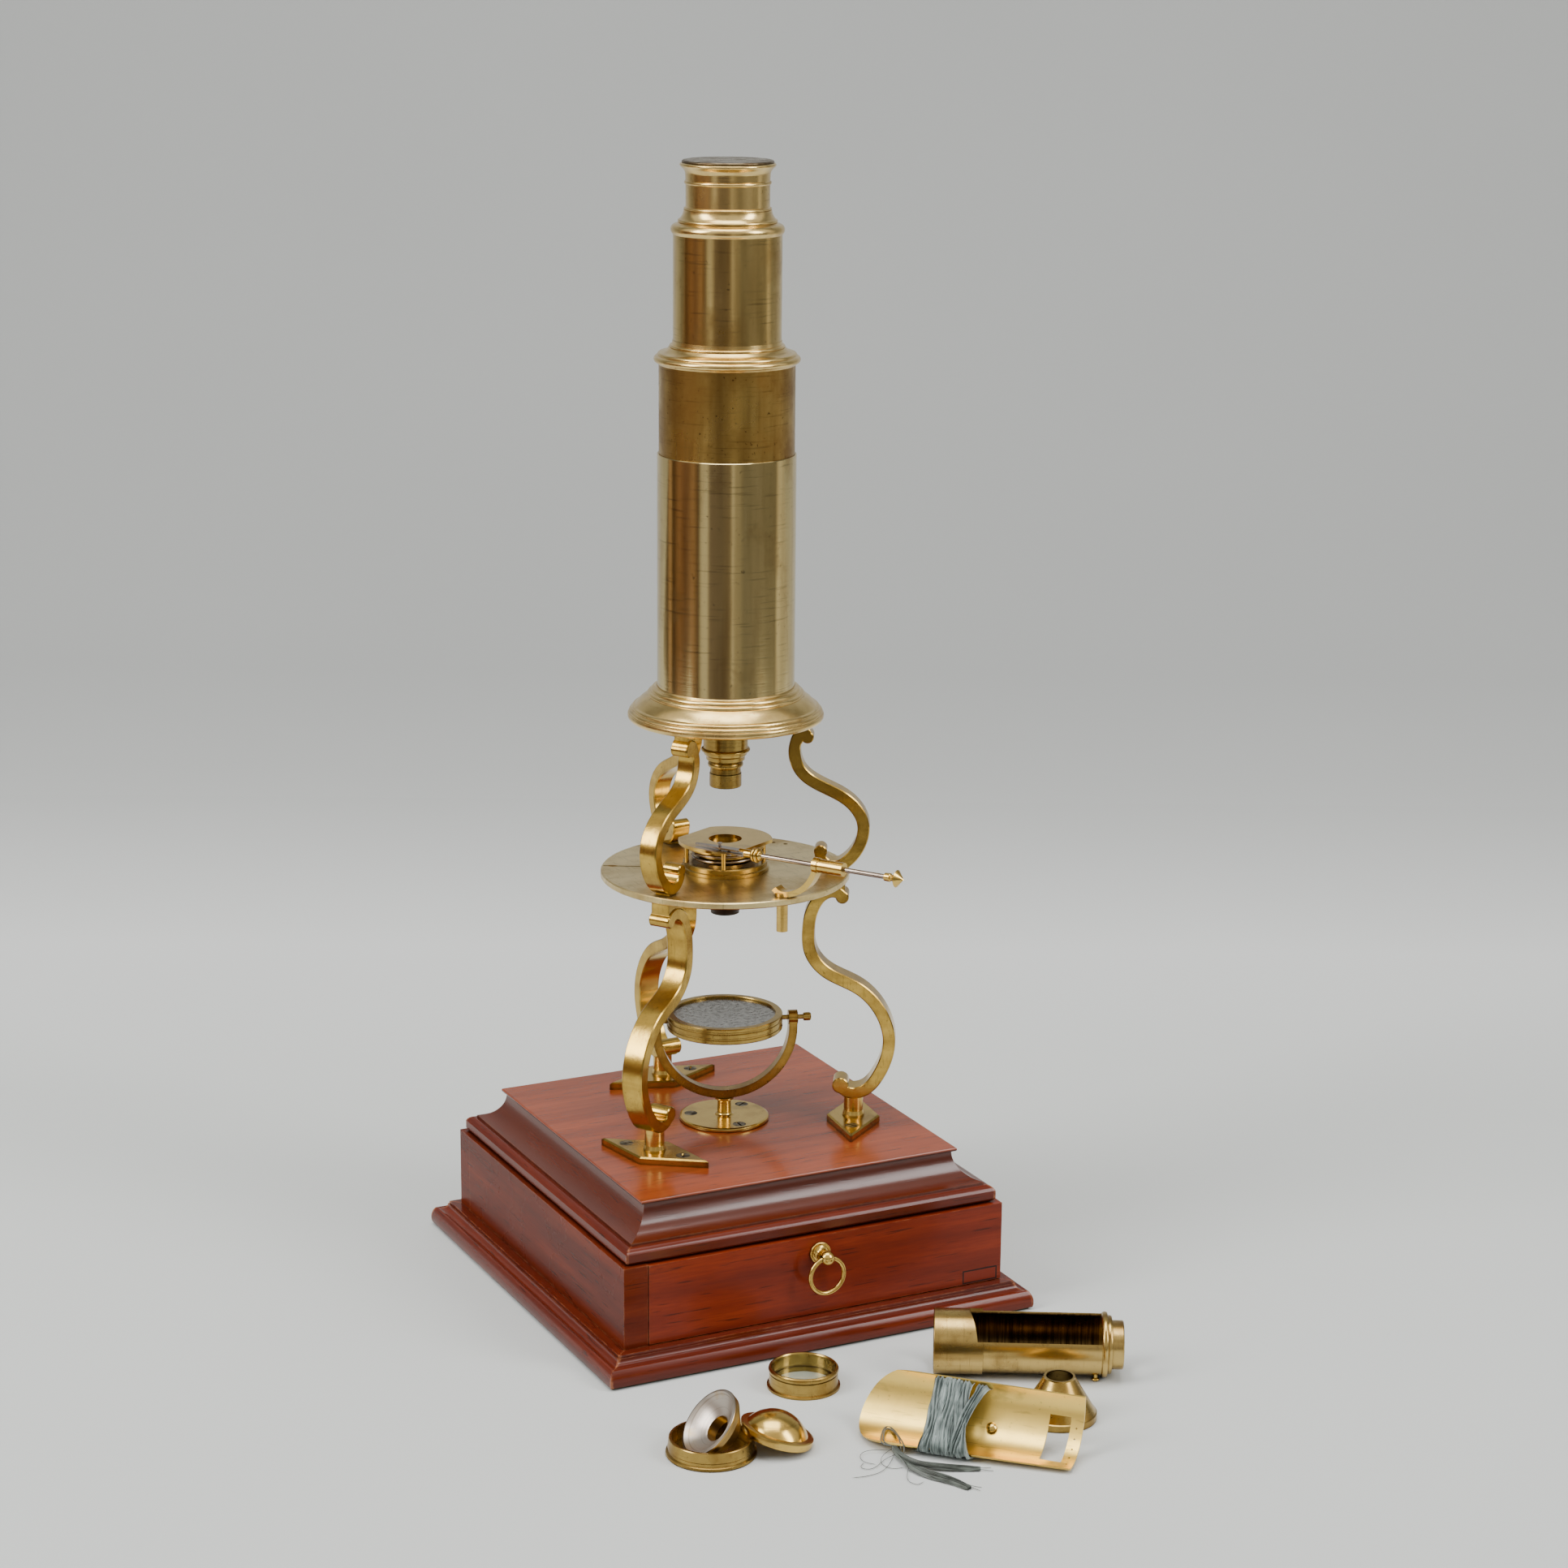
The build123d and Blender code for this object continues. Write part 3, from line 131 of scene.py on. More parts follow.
in_colour = {"out": 2, "data_type": "RGBA"}  # settings of a Mix node that mixes colours
inward = {"inside": True, "only_local": True}  # rays go into the solid, where its sharp edges stop them


# %% [markdown]
# ## Brass
# Instruments like this were cast or drawn in brass, turned or filed bright, and lacquered. After
# two centuries the lacquer has gone cloudy: the metal is still a greenish gold, with brown bloom,
# small dark spots, fine rings left by the lathe and dirt in every corner that a cloth can't reach.
# One function builds the metal from its causes, and each piece gets its own amount of them: a
# metal shader with a golden base colour gives the sharp reflections, noise at several sizes gives
# bloom, streaks, specks and rings, and a test for nearby surfaces finds the corners. It darkens
# them, and every place near another part or the table, as dirt and painted shade together.


# %% The bore of a lying tube
def in_bore(tree, place, at, lying, bore, deep):
    """1 in a lying tube's bore and 0 elsewhere, from its place, turn, radius and length.

    In the tube's own directions that is where the length of (0, y, z) is under the radius, and x is
    under the length.
    """
    own_place = add(tree, "Mapping", {"Vector": place, "Location": [v * MM for v in at],
                                      "Rotation": (0, 0, math.radians(lying))}, vector_type="TEXTURE")
    flat = add(tree, "VectorMath", {0: own_place, 1: (0.0, 1.0, 1.0)}, operation="MULTIPLY")
    reach = add(tree, "VectorMath", {0: flat}, out="Value", operation="LENGTH")
    within = add(tree, "Math", {0: reach, 1: bore * MM}, operation="LESS_THAN")
    before = add(tree, "SeparateXYZ", {0: own_place}, out="X")
    before = add(tree, "Math", {0: before, 1: deep * MM}, operation="LESS_THAN")
    return add(tree, "Math", {0: within, 1: before}, operation="MULTIPLY")


# %% Brass materials
def lacquered_brass(name, bright, bloom, dark, cloud=0.3, streak=0.3, rough=0.13, rings=(20, 20, 1),
                    turn=0.0, wave=0.02, dents=0.0, edge=0.0, inside=None):
    """Brass with bloom in clouds about 24 mm wide, streaks, specks under 1 mm and tool rings 0.8 mm apart.

    rings says how far the tool marks are drawn out along each axis, after a turn about Z in degrees.
    wave and dents are the heights in millimetres of its unevenness over 9 mm and over 3 mm, and edge
    is how brown its edges are. inside is what in_bore needs, for a tube whose bore is left brown.
    """
    material, tree, place = new_material(name)
    clouds = add(tree, "TexNoise", {"Vector": place, "Scale": per(24), "Detail": 5.0, "Roughness": 0.62})
    clear, full = 0.62 - 0.22 * cloud, 0.86 - 0.22 * cloud
    amount = add(tree, "ValToRGB", {0: clouds}, stops=[(clear, 0.0), (full, 1.0)])
    colour = add(tree, "Mix", {0: amount, 6: bright, 7: bloom}, **in_colour)
    about_z = (0, 0, math.radians(turn))
    ring_place = add(tree, "Mapping", {"Vector": place, "Rotation": about_z, "Scale": rings},
                     vector_type="TEXTURE")
    lines = add(tree, "TexNoise", {"Vector": ring_place, "Scale": per(0.8), "Detail": 3.0})
    cross = tuple(1.0 if reach > 1 else 12.0 for reach in rings)
    wipe_place = add(tree, "Mapping", {"Vector": place, "Rotation": about_z, "Scale": cross},
                     vector_type="TEXTURE")
    wipes = add(tree, "TexNoise", {"Vector": wipe_place, "Scale": per(5), "Detail": 4.0})
    wiped = add(tree, "ValToRGB", {0: wipes}, stops=[(0.45, 0.0), (0.72, streak)])
    colour = add(tree, "Mix", {0: wiped, 6: colour, 7: bloom}, **in_colour)
    specks = add(tree, "TexNoise", {"Vector": place, "Scale": per(1.5), "Detail": 2.0})
    spots = add(tree, "ValToRGB", {0: specks}, stops=[(0.68, 0.0), (0.76, 0.25 + 0.5 * cloud)])
    colour = add(tree, "Mix", {0: spots, 6: colour, 7: dark}, **in_colour)
    scratched = add(tree, "ValToRGB", {0: lines}, stops=[(0.30, 0.30), (0.40, 0.0)])
    colour = add(tree, "Mix", {0: scratched, 6: colour, 7: dark}, **in_colour)
    # dirt and painted shade: corners, and places near other parts and the table, darken towards the dark
    # tone where shade falls
    dirt_and_shade = closed_in(tree, 2.2, [(0.30, 0.75), (0.72, 0.0)])
    colour = add(tree, "Mix", {0: dirt_and_shade, 6: colour, 7: dark}, **in_colour)
    if edge:
        browned = closed_in(tree, 1.3, [(0.40, edge), (0.85, 0.0)], **inward)
        colour = add(tree, "Mix", {0: browned, 6: colour, 7: dark}, **in_colour)
    if inside:
        grime = add(tree, "ValToRGB", {0: lines}, stops=[(0.35, "#3a2916"), (0.65, "#7c6038")])
        colour = add(tree, "Mix", {0: in_bore(tree, place, *inside), 6: colour, 7: grime}, **in_colour)
    dull = add(tree, "Math", {0: amount, 1: 0.12, 2: rough}, operation="MULTIPLY_ADD")
    dull = add(tree, "Math", {0: dirt_and_shade, 1: 0.35, 2: dull}, operation="MULTIPLY_ADD")
    waves = add(tree, "TexNoise", {"Vector": place, "Scale": per(9), "Detail": 1.0})
    height = add(tree, "Math", {0: waves, 1: wave}, operation="MULTIPLY")
    height = add(tree, "Math", {0: lines, 1: 0.008, 2: height}, operation="MULTIPLY_ADD")
    if dents:
        dented = add(tree, "TexNoise", {"Vector": place, "Scale": per(3), "Detail": 2.0})
        height = add(tree, "Math", {0: dented, 1: dents, 2: height}, operation="MULTIPLY_ADD")
    bump = add(tree, "Bump", {"Strength": 1.0, "Distance": MM, "Height": height})
    shader = add(tree, "BsdfPrincipled", {"Base Color": colour, "Metallic": 1.0, "Roughness": dull,
                                          "Normal": bump})
    return finished(material, tree, shader)


# %% The brasses of this instrument
filed = (1, 1, 9)  # file marks run along an upright leg
tube_turn, trough_turn = -28.7, -45.6  # of the cut tube and the fish plate on the table, in degrees
tube_bore = ((27.1, -129.1, 12.5), tube_turn, 11.2, 63.5)  # its place, turn, radius and length
# small turned parts: golden and glossy, with lathe rings that break up the highlights
turned_brass = lacquered_brass("turned_lacquered_brass", "#d8b563", "#a37c3c", "#4a3014", cloud=0.35,
                               rough=0.20)
# big mouldings that hands rub: paler, so that their steps read as light lines
cream_brass = lacquered_brass("rubbed_turned_brass", "#e4c682", "#ab8546", "#4a3014", cloud=0.4, rough=0.22)
# cells and rings that were left alone: browner and duller
ring_brass = lacquered_brass("dull_turned_brass", "#b09350", "#7c5c2a", "#3c2811", cloud=0.7, rough=0.24)
# the socket tube: the brightest of the drawn tubes, with sharp upright reflections
tube_brass = lacquered_brass("drawn_tube_brass", "#d9c388", "#a0804a", "#3f2c12", cloud=0.35, streak=0.45)
# the eye tube: the same metal with more smoke on its lacquer
eye_brass = lacquered_brass("smoky_tube_brass", "#dabe7c", "#a68549", "#3f2c12", cloud=0.5, streak=0.6,
                            rough=0.17)
# the sliding body tube: brown all over, because it has lost its lacquer
brown_brass = lacquered_brass("tarnished_tube_brass", "#bd9c58", "#8c6a36", "#35220f", cloud=1.0, streak=0.9,
                              rough=0.27)
# the cut tube: scratched along its length and grimy in its bore
lying_brass = lacquered_brass("scratched_tube_brass", "#c8ab68", "#7c5c2e", "#35260f", cloud=0.6, streak=0.8,
                              rough=0.24, rings=(1, 20, 20), turn=tube_turn, inside=tube_bore)
# the legs: cast and filed, so slightly wavy, with brown along each edge
cast_brass = lacquered_brass("filed_cast_brass", "#cfab54", "#8e6c30", "#463012", cloud=0.7, streak=0.5,
                             rough=0.18, rings=filed, wave=0.05, dents=0.03, edge=0.65)
# the mirror's yoke: cast like the legs and never polished since
dark_cast_brass = lacquered_brass("browned_cast_brass", "#a8843f", "#6c4c20", "#38240f", cloud=0.8,
                                  streak=0.5, rough=0.25, rings=filed, wave=0.03, dents=0.02, edge=0.6)
# the stage: wiped so often that it is pale and nearly matt
pale_brass = lacquered_brass("worn_pale_brass", "#e2cc94", "#b3975e", "#54401f", cloud=0.8, streak=0.4,
                             rough=0.30, rings=(1, 9, 9), wave=0.01)
# the fish plate: thin rolled sheet, the yellowest piece, with a broad soft shine
bright_brass = lacquered_brass("rolled_sheet_brass", "#fdd874", "#e0b55a", "#6a4a1c", cloud=0.15,
                               streak=0.15, rough=0.30, rings=(14, 1, 9), turn=trough_turn)

# %% [markdown]
# ## Mahogany
# The foot is mahogany, stained reddish brown and French polished. Its grain runs along each board,
# with bands of figure a few millimetres wide and short dark pores. On a mitred frame the grain
# turns with each strip. A UV map for every strip could do that, but the CAD pieces have none, so
# the pattern picks its direction from the side of the square that it is on. Polish wears thin on
# every sharp edge and wax collects in every hollow: a test into the wood finds the edges, and a
# test outwards finds the hollows, which it darkens as wax and painted shade together.


# %% Grain and patch
def grain_places(tree, place, mitred, below):
    """Coordinates 16 times as long along the grain: X, or Y on the left and right strips of a frame.

    Those are where |x| - |y| is over -2.5 mm, and on a plain board only where below is 1.
    """
    turned = [add(tree, "Mapping", {"Vector": place, "Scale": run}, vector_type="TEXTURE")
              for run in ((16, 1, 1), (1, 16, 1))]
    far = [add(tree, "Math", {0: add(tree, "SeparateXYZ", {0: place}, out=axis)}, operation="ABSOLUTE")
           for axis in "XY"]
    beyond = add(tree, "Math", {0: far[0], 1: far[1]}, operation="SUBTRACT")
    on_side = add(tree, "Math", {0: beyond, 1: -2.5 * MM}, operation="GREATER_THAN")
    if not mitred:
        on_side = add(tree, "Math", {0: on_side, 1: below}, operation="MULTIPLY")
    return add(tree, "Mix", {0: on_side, 4: turned[0], 5: turned[1]}, out=1, data_type="VECTOR")


def past_patch(tree, place, patch):
    """How far outside a patch a point is: the larger of |x - middle| - half width, in X and in Z."""
    low_x, high_x, low_z, high_z = (end * MM for end in patch)
    past = []
    for axis, low, high in (("X", low_x, high_x), ("Z", low_z, high_z)):
        spot = add(tree, "SeparateXYZ", {0: place}, out=axis)
        spot = add(tree, "Math", {0: spot, 1: (low + high) / 2}, operation="SUBTRACT")
        spot = add(tree, "Math", {0: spot}, operation="ABSOLUTE")
        past.append(add(tree, "Math", {0: spot, 1: (high - low) / 2}, operation="SUBTRACT"))
    return add(tree, "Math", {0: past[0], 1: past[1]}, operation="MAXIMUM")


# %% Wood materials
crevice = "#220b05"  # stain and old wax in a pore or a joint


def polished_mahogany(name, light, mid, dark, mitred=True, contrast=1.0, gloss=0.16, shine=1.42, worn=0.6,
                      rim=None, patch=None):
    """Mahogany with figure bands about 6 mm wide, 16 times as long, and pores 0.5 mm wide.

    A board that isn't mitred has its grain along X down to the height rim, and a mitred dark edge
    below it. shine is the refractive index of its polish, and patch is the lowest and highest X and
    Z, in millimetres, of a piece let in to mend the front.
    """
    material, tree, place = new_material(name)
    height = add(tree, "SeparateXYZ", {0: place}, out="Z")
    below = add(tree, "Math", {0: height, 1: (rim or 0) * MM}, operation="LESS_THAN")
    grain = grain_places(tree, place, mitred, below)
    sway = add(tree, "TexNoise", {"Vector": grain, "Scale": per(24), "Detail": 2.0})
    figure = add(tree, "TexNoise", {"Vector": grain, "Scale": per(6), "Detail": 5.0, "Roughness": 0.6})
    fibre = add(tree, "TexNoise", {"Vector": grain, "Scale": per(0.9), "Detail": 3.0, "Roughness": 0.7})
    pores = add(tree, "TexNoise", {"Vector": grain, "Scale": per(0.8), "Detail": 1.0})
    value = add(tree, "Math", {0: sway, 1: 0.8, 2: 0.1}, operation="MULTIPLY_ADD")
    value = add(tree, "Mix", {0: 0.5, 2: value, 3: figure}, data_type="FLOAT")
    spread = 0.16 / contrast
    colour = add(tree, "ValToRGB", {0: value},
                 stops=[(0.5 - spread, dark), (0.5, mid), (0.5 + spread, light)])
    threads = add(tree, "ValToRGB", {0: fibre}, stops=[(0.38, 0.35 * contrast), (0.60, 0.0)])
    colour = add(tree, "Mix", {0: threads, 6: colour, 7: dark}, **in_colour)
    pore = add(tree, "ValToRGB", {0: pores}, stops=[(0.27, 0.6), (0.35, 0.0)])
    colour = add(tree, "Mix", {0: pore, 6: colour, 7: crevice}, **in_colour)
    if rim:
        # the rim below the top face gets a darker colour than the top face
        darker_below_rim = add(tree, "Math", {0: below, 1: 0.8}, operation="MULTIPLY")
        colour = add(tree, "Mix", {0: darker_below_rim, 6: colour, 7: "#3c130a"}, **in_colour)
    if patch:
        outside = past_patch(tree, place, patch)
        let_in = add(tree, "Math", {0: outside, 1: 0.0}, operation="LESS_THAN")
        colour = add(tree, "Mix", {0: let_in, 6: colour, 7: mid}, **in_colour)
        joint = add(tree, "Math", {0: outside}, operation="ABSOLUTE")
        joint = add(tree, "Math", {0: joint, 1: 0.3 * MM}, operation="LESS_THAN")
        colour = add(tree, "Mix", {0: joint, 6: colour, 7: crevice}, **in_colour)
    edge = closed_in(tree, 1.0, [(0.35, 1.0), (0.75, 0.0)], **inward)
    rubbed = add(tree, "TexNoise", {"Vector": place, "Scale": per(6), "Detail": 5.0, "Roughness": 0.7})
    rubbed = add(tree, "ValToRGB", {0: rubbed}, stops=[(0.42, 0.0), (0.62, worn)])
    rubbed = add(tree, "Math", {0: rubbed, 1: edge}, operation="MULTIPLY")
    colour = add(tree, "Mix", {0: rubbed, 6: colour, 7: "#b0704a"}, **in_colour)
    # wax and painted shade: hollows, and places near other parts and the table, are darkened where shade
    # falls
    wax_and_shade = closed_in(tree, 2.5, [(0.25, 0.8), (0.65, 0.0)])
    colour = add(tree, "Mix", {0: wax_and_shade, 6: colour, 7: "#1c0a06"}, **in_colour)
    smears = add(tree, "TexNoise", {"Vector": place, "Scale": per(30), "Detail": 4.0})
    rough = add(tree, "Math", {0: smears, 1: 0.10, 2: gloss}, operation="MULTIPLY_ADD")
    height = add(tree, "Math", {0: fibre, 1: 0.010}, operation="MULTIPLY")
    height = add(tree, "Math", {0: pore, 1: -0.02, 2: height}, operation="MULTIPLY_ADD")
    bump = add(tree, "Bump", {"Strength": 1.0, "Distance": MM, "Height": height})
    shader = add(tree, "BsdfPrincipled", {"Base Color": colour, "Roughness": rough, "Normal": bump,
                                          "IOR": shine, "Coat Weight": 0.08, "Coat Roughness": 0.09})
    return finished(material, tree, shader)


# %% The woods of this foot
front_low, front_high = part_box("drawer_front")
right_end, bottom = front_high[0] / MM, front_low[2] / MM
mend = (right_end - 17, right_end - 2, bottom + 0.5, bottom + 5.5)
rim_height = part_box("top_board")[1][2] / MM - 0.6
# the top: the reddest and glossiest face, with a dark moulded rim
top_wood = polished_mahogany("polished_mahogany_top", "#a54a20", "#8c3a16", "#60220e", mitred=False,
                             contrast=0.6, gloss=0.17, shine=1.5, worn=0.25, rim=rim_height)
# the mouldings: dark, with light rubbed edges
mould_wood = polished_mahogany("polished_mahogany_moulding", "#762a12", "#5b1d0c", "#3e1208", contrast=0.7,
                               shine=1.34, worn=0.8)
# the sides: dull, so that they stay deep brown in the side light
wall_wood = polished_mahogany("polished_mahogany_wall", "#7c2f14", "#60200c", "#421408", contrast=0.8,
                              gloss=0.22, shine=1.18)
# the drawer's front: a warmer board, with a piece let in at its lower right corner
front_wood = polished_mahogany("polished_mahogany_drawer", "#923312", "#77240b", "#4f1406", mitred=False,
                               contrast=0.8, gloss=0.30, shine=1.30, patch=mend)
# inside the drawer: plain planed boards without polish
drawer_wood = polished_mahogany("planed_drawer_wood", "#a8764a", "#875733", "#61391e", mitred=False,
                                gloss=0.5, worn=0.2)

# %% [markdown]
# ## The other finishes
# Baize is a felted wool. Some brass pieces are blackened to keep stray light down, and the black
# leaf under the stage is painted shade: a dark piece put where shade falls under the stage. The
# forceps have a steel rod and the wood screws are old iron. The reflector is turned brass with a
# thin coat of silver, so the lathe's rings still show round its own leaning axis. The mirror's
# silvering has gone grey, with fine darker freckles. Each of these is one colour that wanders into
# another, so they share one function, apart from baize, silver and glass.


# %% Baize
def wool_baize(name):
    """Green felted wool with fibres about 0.4 mm wide, drawn twice as coarse so that they show."""
    material, tree, place = new_material(name)
    fibre = add(tree, "TexNoise", {"Vector": place, "Scale": per(0.8), "Detail": 4.0})
    colour = add(tree, "ValToRGB", {0: fibre}, stops=[(0.3, "#151f16"), (0.7, "#2f4230")])
    bump = add(tree, "Bump", {"Strength": 1.0, "Distance": 0.15 * MM, "Height": fibre})
    shader = add(tree, "BsdfPrincipled", {"Base Color": colour, "Roughness": 0.95, "Normal": bump})
    return finished(material, tree, shader)


green_baize = wool_baize("green_wool_baize")


# %% Black, steel, iron and old silver
def tarnished_metal(name, bright, dull, patch_mm, rough, spread, metallic=1.0, soft=0.1):
    """Metal whose colour and gloss wander in patches of patch_mm, which fade out over the share soft."""
    material, tree, place = new_material(name)
    patches = add(tree, "TexNoise", {"Vector": place, "Scale": per(patch_mm), "Detail": 5.0,
                                     "Roughness": 0.6})
    amount = add(tree, "ValToRGB", {0: patches}, stops=[(0.5 - soft, 0.0), (0.5 + soft, 1.0)])
    colour = add(tree, "Mix", {0: amount, 6: bright, 7: dull}, **in_colour)
    # dirt and painted shade: corners, and places near other parts, darken towards a near black brown where
    # shade falls
    dirt_and_shade = closed_in(tree, 1.5, [(0.30, 0.6), (0.70, 0.0)])
    colour = add(tree, "Mix", {0: dirt_and_shade, 6: colour, 7: "#1d150d"}, **in_colour)
    roughness = add(tree, "Math", {0: amount, 1: spread, 2: rough}, operation="MULTIPLY_ADD")
    grit = add(tree, "TexNoise", {"Vector": place, "Scale": per(0.8), "Detail": 2.0})
    bump = add(tree, "Bump", {"Strength": 1.0, "Distance": 0.006 * MM, "Height": grit})
    shader = add(tree, "BsdfPrincipled", {"Base Color": colour, "Metallic": metallic, "Roughness": roughness,
                                          "Normal": bump})
    return finished(material, tree, shader)


# this black also dresses stage_leaf, which is painted shade: a dark piece put where shade falls under the
# stage
black_brass_and_shade_leaf = tarnished_metal("chemically_blackened_brass_and_painted_shade", "#1f1a15", "#3d2f1e", 6, 0.34, 0.15,
                              metallic=0.7)
cap_brass = tarnished_metal("browned_cap_brass", "#83745a", "#5d4d38", 5, 0.26, 0.12)
rod_steel = tarnished_metal("polished_tool_steel", "#a99d92", "#85756a", 14, 0.16, 0.1, soft=0.2)
old_iron = tarnished_metal("worn_iron_screw", "#8c8069", "#4a3d2c", 2.5, 0.32, 0.2)
mirror_silver = tarnished_metal("aged_silvered_glass", "#a9a5a0", "#86827e", 1.8, 0.14, 0.2, soft=0.14)


# %% The silvered reflector
def silvered_brass(name, bright, bare, at, facing):
    """Turned brass, silvered in front: rings about 0.9 mm apart round an axis through at, along facing.

    The distance of a point p from the axis is the length of (p - at) crossed with facing, and a
    face is on the front where its own direction agrees with facing.
    """
    material, tree, place = new_material(name)
    from_centre = add(tree, "VectorMath", {0: place, 1: [v * MM for v in at]}, operation="SUBTRACT")
    crossed = add(tree, "VectorMath", {0: from_centre, 1: facing}, operation="CROSS_PRODUCT")
    reach = add(tree, "VectorMath", {0: crossed}, out="Value", operation="LENGTH")
    rings = add(tree, "TexNoise", {"W": reach, "Scale": per(0.9), "Detail": 2.0}, noise_dimensions="1D")
    wear = add(tree, "TexNoise", {"Vector": place, "Scale": per(7), "Detail": 4.0})
    through = add(tree, "ValToRGB", {0: wear}, stops=[(0.55, 0.0), (0.75, 0.6)])
    towards = add(tree, "TexCoord", out="Normal")
    agrees = add(tree, "VectorMath", {0: towards, 1: facing}, out="Value", operation="DOT_PRODUCT")
    rear = add(tree, "Math", {0: agrees, 1: 0.25}, operation="LESS_THAN")
    through = add(tree, "Math", {0: through, 1: rear}, operation="MAXIMUM")
    colour = add(tree, "Mix", {0: through, 6: bright, 7: bare}, **in_colour)
    grooves = add(tree, "ValToRGB", {0: rings}, stops=[(0.32, 0.4), (0.45, 0.0)])
    colour = add(tree, "Mix", {0: grooves, 6: colour, 7: "#6b5c48"}, **in_colour)
    bump = add(tree, "Bump", {"Strength": 1.0, "Distance": 0.02 * MM, "Height": rings})
    shader = add(tree, "BsdfPrincipled", {"Base Color": colour, "Metallic": 1.0, "Roughness": 0.33,
                                          "Normal": bump})
    return finished(material, tree, shader)


reflector_low, reflector_high = (np.array(corner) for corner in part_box("reflector"))
reflector_middle = tuple((reflector_low + reflector_high) / 2 / MM)
reflector_axis = (-0.756, 0.03, 0.653)
silvered = silvered_brass("silvered_turned_brass", "#b9aea3", "#b08d4e", reflector_middle, reflector_axis)


# %% Glass
def optical_glass(name, tint):
    """Ground and polished glass with a faint haze from old cleaning marks."""
    material, tree, place = new_material(name)
    haze = add(tree, "TexNoise", {"Vector": place, "Scale": per(6), "Detail": 4.0})
    rough = add(tree, "ValToRGB", {0: haze}, stops=[(0.45, 0.0), (0.75, 0.12)])
    shader = add(tree, "BsdfPrincipled", {"Base Color": tint, "Roughness": rough, "IOR": 1.5,
                                          "Transmission Weight": 1.0})
    return finished(material, tree, shader)


crown_glass = optical_glass("polished_crown_glass", "#eef3ec")

# %% [markdown]
# ## Giving each piece its finish
# A CAD piece keeps its mesh. Only the material in its slots changes. A table of finishes and the
# pieces that wear them is easier to read than a line of code for each.

# %% Dress the CAD pieces
finishes = {
    green_baize: "base_felt",
    mould_wood: "plinth_moulding top_bead",
    wall_wood: "base_walls base_floor",
    front_wood: "drawer_front",
    drawer_wood: "drawer_frame drawer_bottom",
    top_wood: "top_board",
    cream_brass: "bell_flange body_shoulder eyepiece_mount",
    turned_brass: "mirror_foot leg_posts pull_knob pull_ring lid slide_plate spring_plate "
                  "forceps_bracket forceps_ends tube_foot fish_stud",
    ring_brass: "nosepiece objective_button mirror_cell mirror_pivots spring_stage_ring live_box dish "
                "cone_shade",
    tube_brass: "socket_tube",
    eye_brass: "eye_tube",
    lying_brass: "cut_tube",
    brown_brass: "body_tube",
    cast_brass: "lower_leg_back lower_leg_left lower_leg_right upper_leg_back upper_leg_left "
                "upper_leg_right foot_plates",
    dark_cast_brass: "mirror_fork",
    pale_brass: "stage_plate",
    bright_brass: "fish_plate",
    # stage_leaf is painted shade: a black piece put where shade falls under the stage
    black_brass_and_shade_leaf: "substage_cone stage_leaf",
    cap_brass: "dust_cap",
    rod_steel: "forceps_rod forceps_fixed_jaw forceps_spring_jaw",
    old_iron: "wood_screws",
    silvered: "reflector",
    mirror_silver: "mirror_glass",
    crown_glass: "lenses objective_lens live_box_glass",
}
for material, names in finishes.items():
    for name in names.split():
        for slot in nodes[name].material_slots:
            slot.material = material
print(sum(len(names.split()) for names in finishes.values()), "pieces have their finish")

# %% [markdown]
# ## The silk ribbon
# A narrow silk ribbon is wound several times round the trough of the fish plate, and its frayed
# end lies on the table. Cloth can't be stretched, so the ribbon keeps its width and gathers in
# lengthwise folds: where it shows less of its width, the folds stand higher. A cloth simulation
# could wind it, but a surface that is worked out stays where it is put. A table of the length of a
# wave against its height gives the fold that uses up the width exactly.


# %% Cloth that gathers
def unit(vectors):
    """Each vector divided by its own length."""
    return vectors / np.linalg.norm(vectors, axis=-1, keepdims=True)


def gone_along(line):
    """Distance gone along a line up to each of its points: the running sum of its steps."""
    return np.concatenate([[0], np.cumsum(np.linalg.norm(np.diff(line, axis=0), axis=1))])


def fold_height(wide, shown, folds):
    """Height of sine folds that fit a width into a narrower one.

    A sine of height h and length s has slope 2·pi·h/s, and its line is longer than s by the mean
    of the square root of 1 + (slope·cos t)². The slope is read back from that mean.
    """
    slopes = np.linspace(0, 14, 400)
    t = np.linspace(0, 2 * np.pi, 181)[:-1]
    longer = np.sqrt(1 + (slopes[:, None] * np.cos(t)) ** 2).mean(axis=1)
    return np.interp(wide / shown, longer, slopes) * shown / (2 * np.pi * folds)


def gathered_strip(middle, across, up, wide, shown, folds, seed, columns=49):
    """Strip of cloth: point(u, v) = middle(u) + across(u)·shown(u)·v + up(u)·height(u)·wave(u, v).

    v runs from -1/2 to 1/2. The wave is a sine with so many folds, whose phase drifts over lengths
    of the strip from 250 down to 26 mm. Every 116 mm the folds are pushed together in one place and
    pulled apart in another.
    """
    rng = np.random.default_rng(seed)
    v = np.linspace(-0.5, 0.5, columns)[None, :]
    gone = gone_along(middle)[:, None] / MM
    drift = sum(rng.uniform(0.4, 1.0) * np.sin(2 * np.pi * gone / every + rng.uniform(0, 6))
                for every in (250, 100, 45, 26))
    push = np.sin(2 * np.pi * (v + gone / 116) + rng.uniform(0, 6))
    wave = np.sin(2 * np.pi * folds * v + 2.4 * drift + 1.9 * push)
    height = fold_height(wide, shown, folds)[:, None]
    flat = across[:, None, :] * (shown[:, None] * v)[..., None]
    return middle[:, None, :] + flat + up[:, None, :] * (height * wave)[..., None]


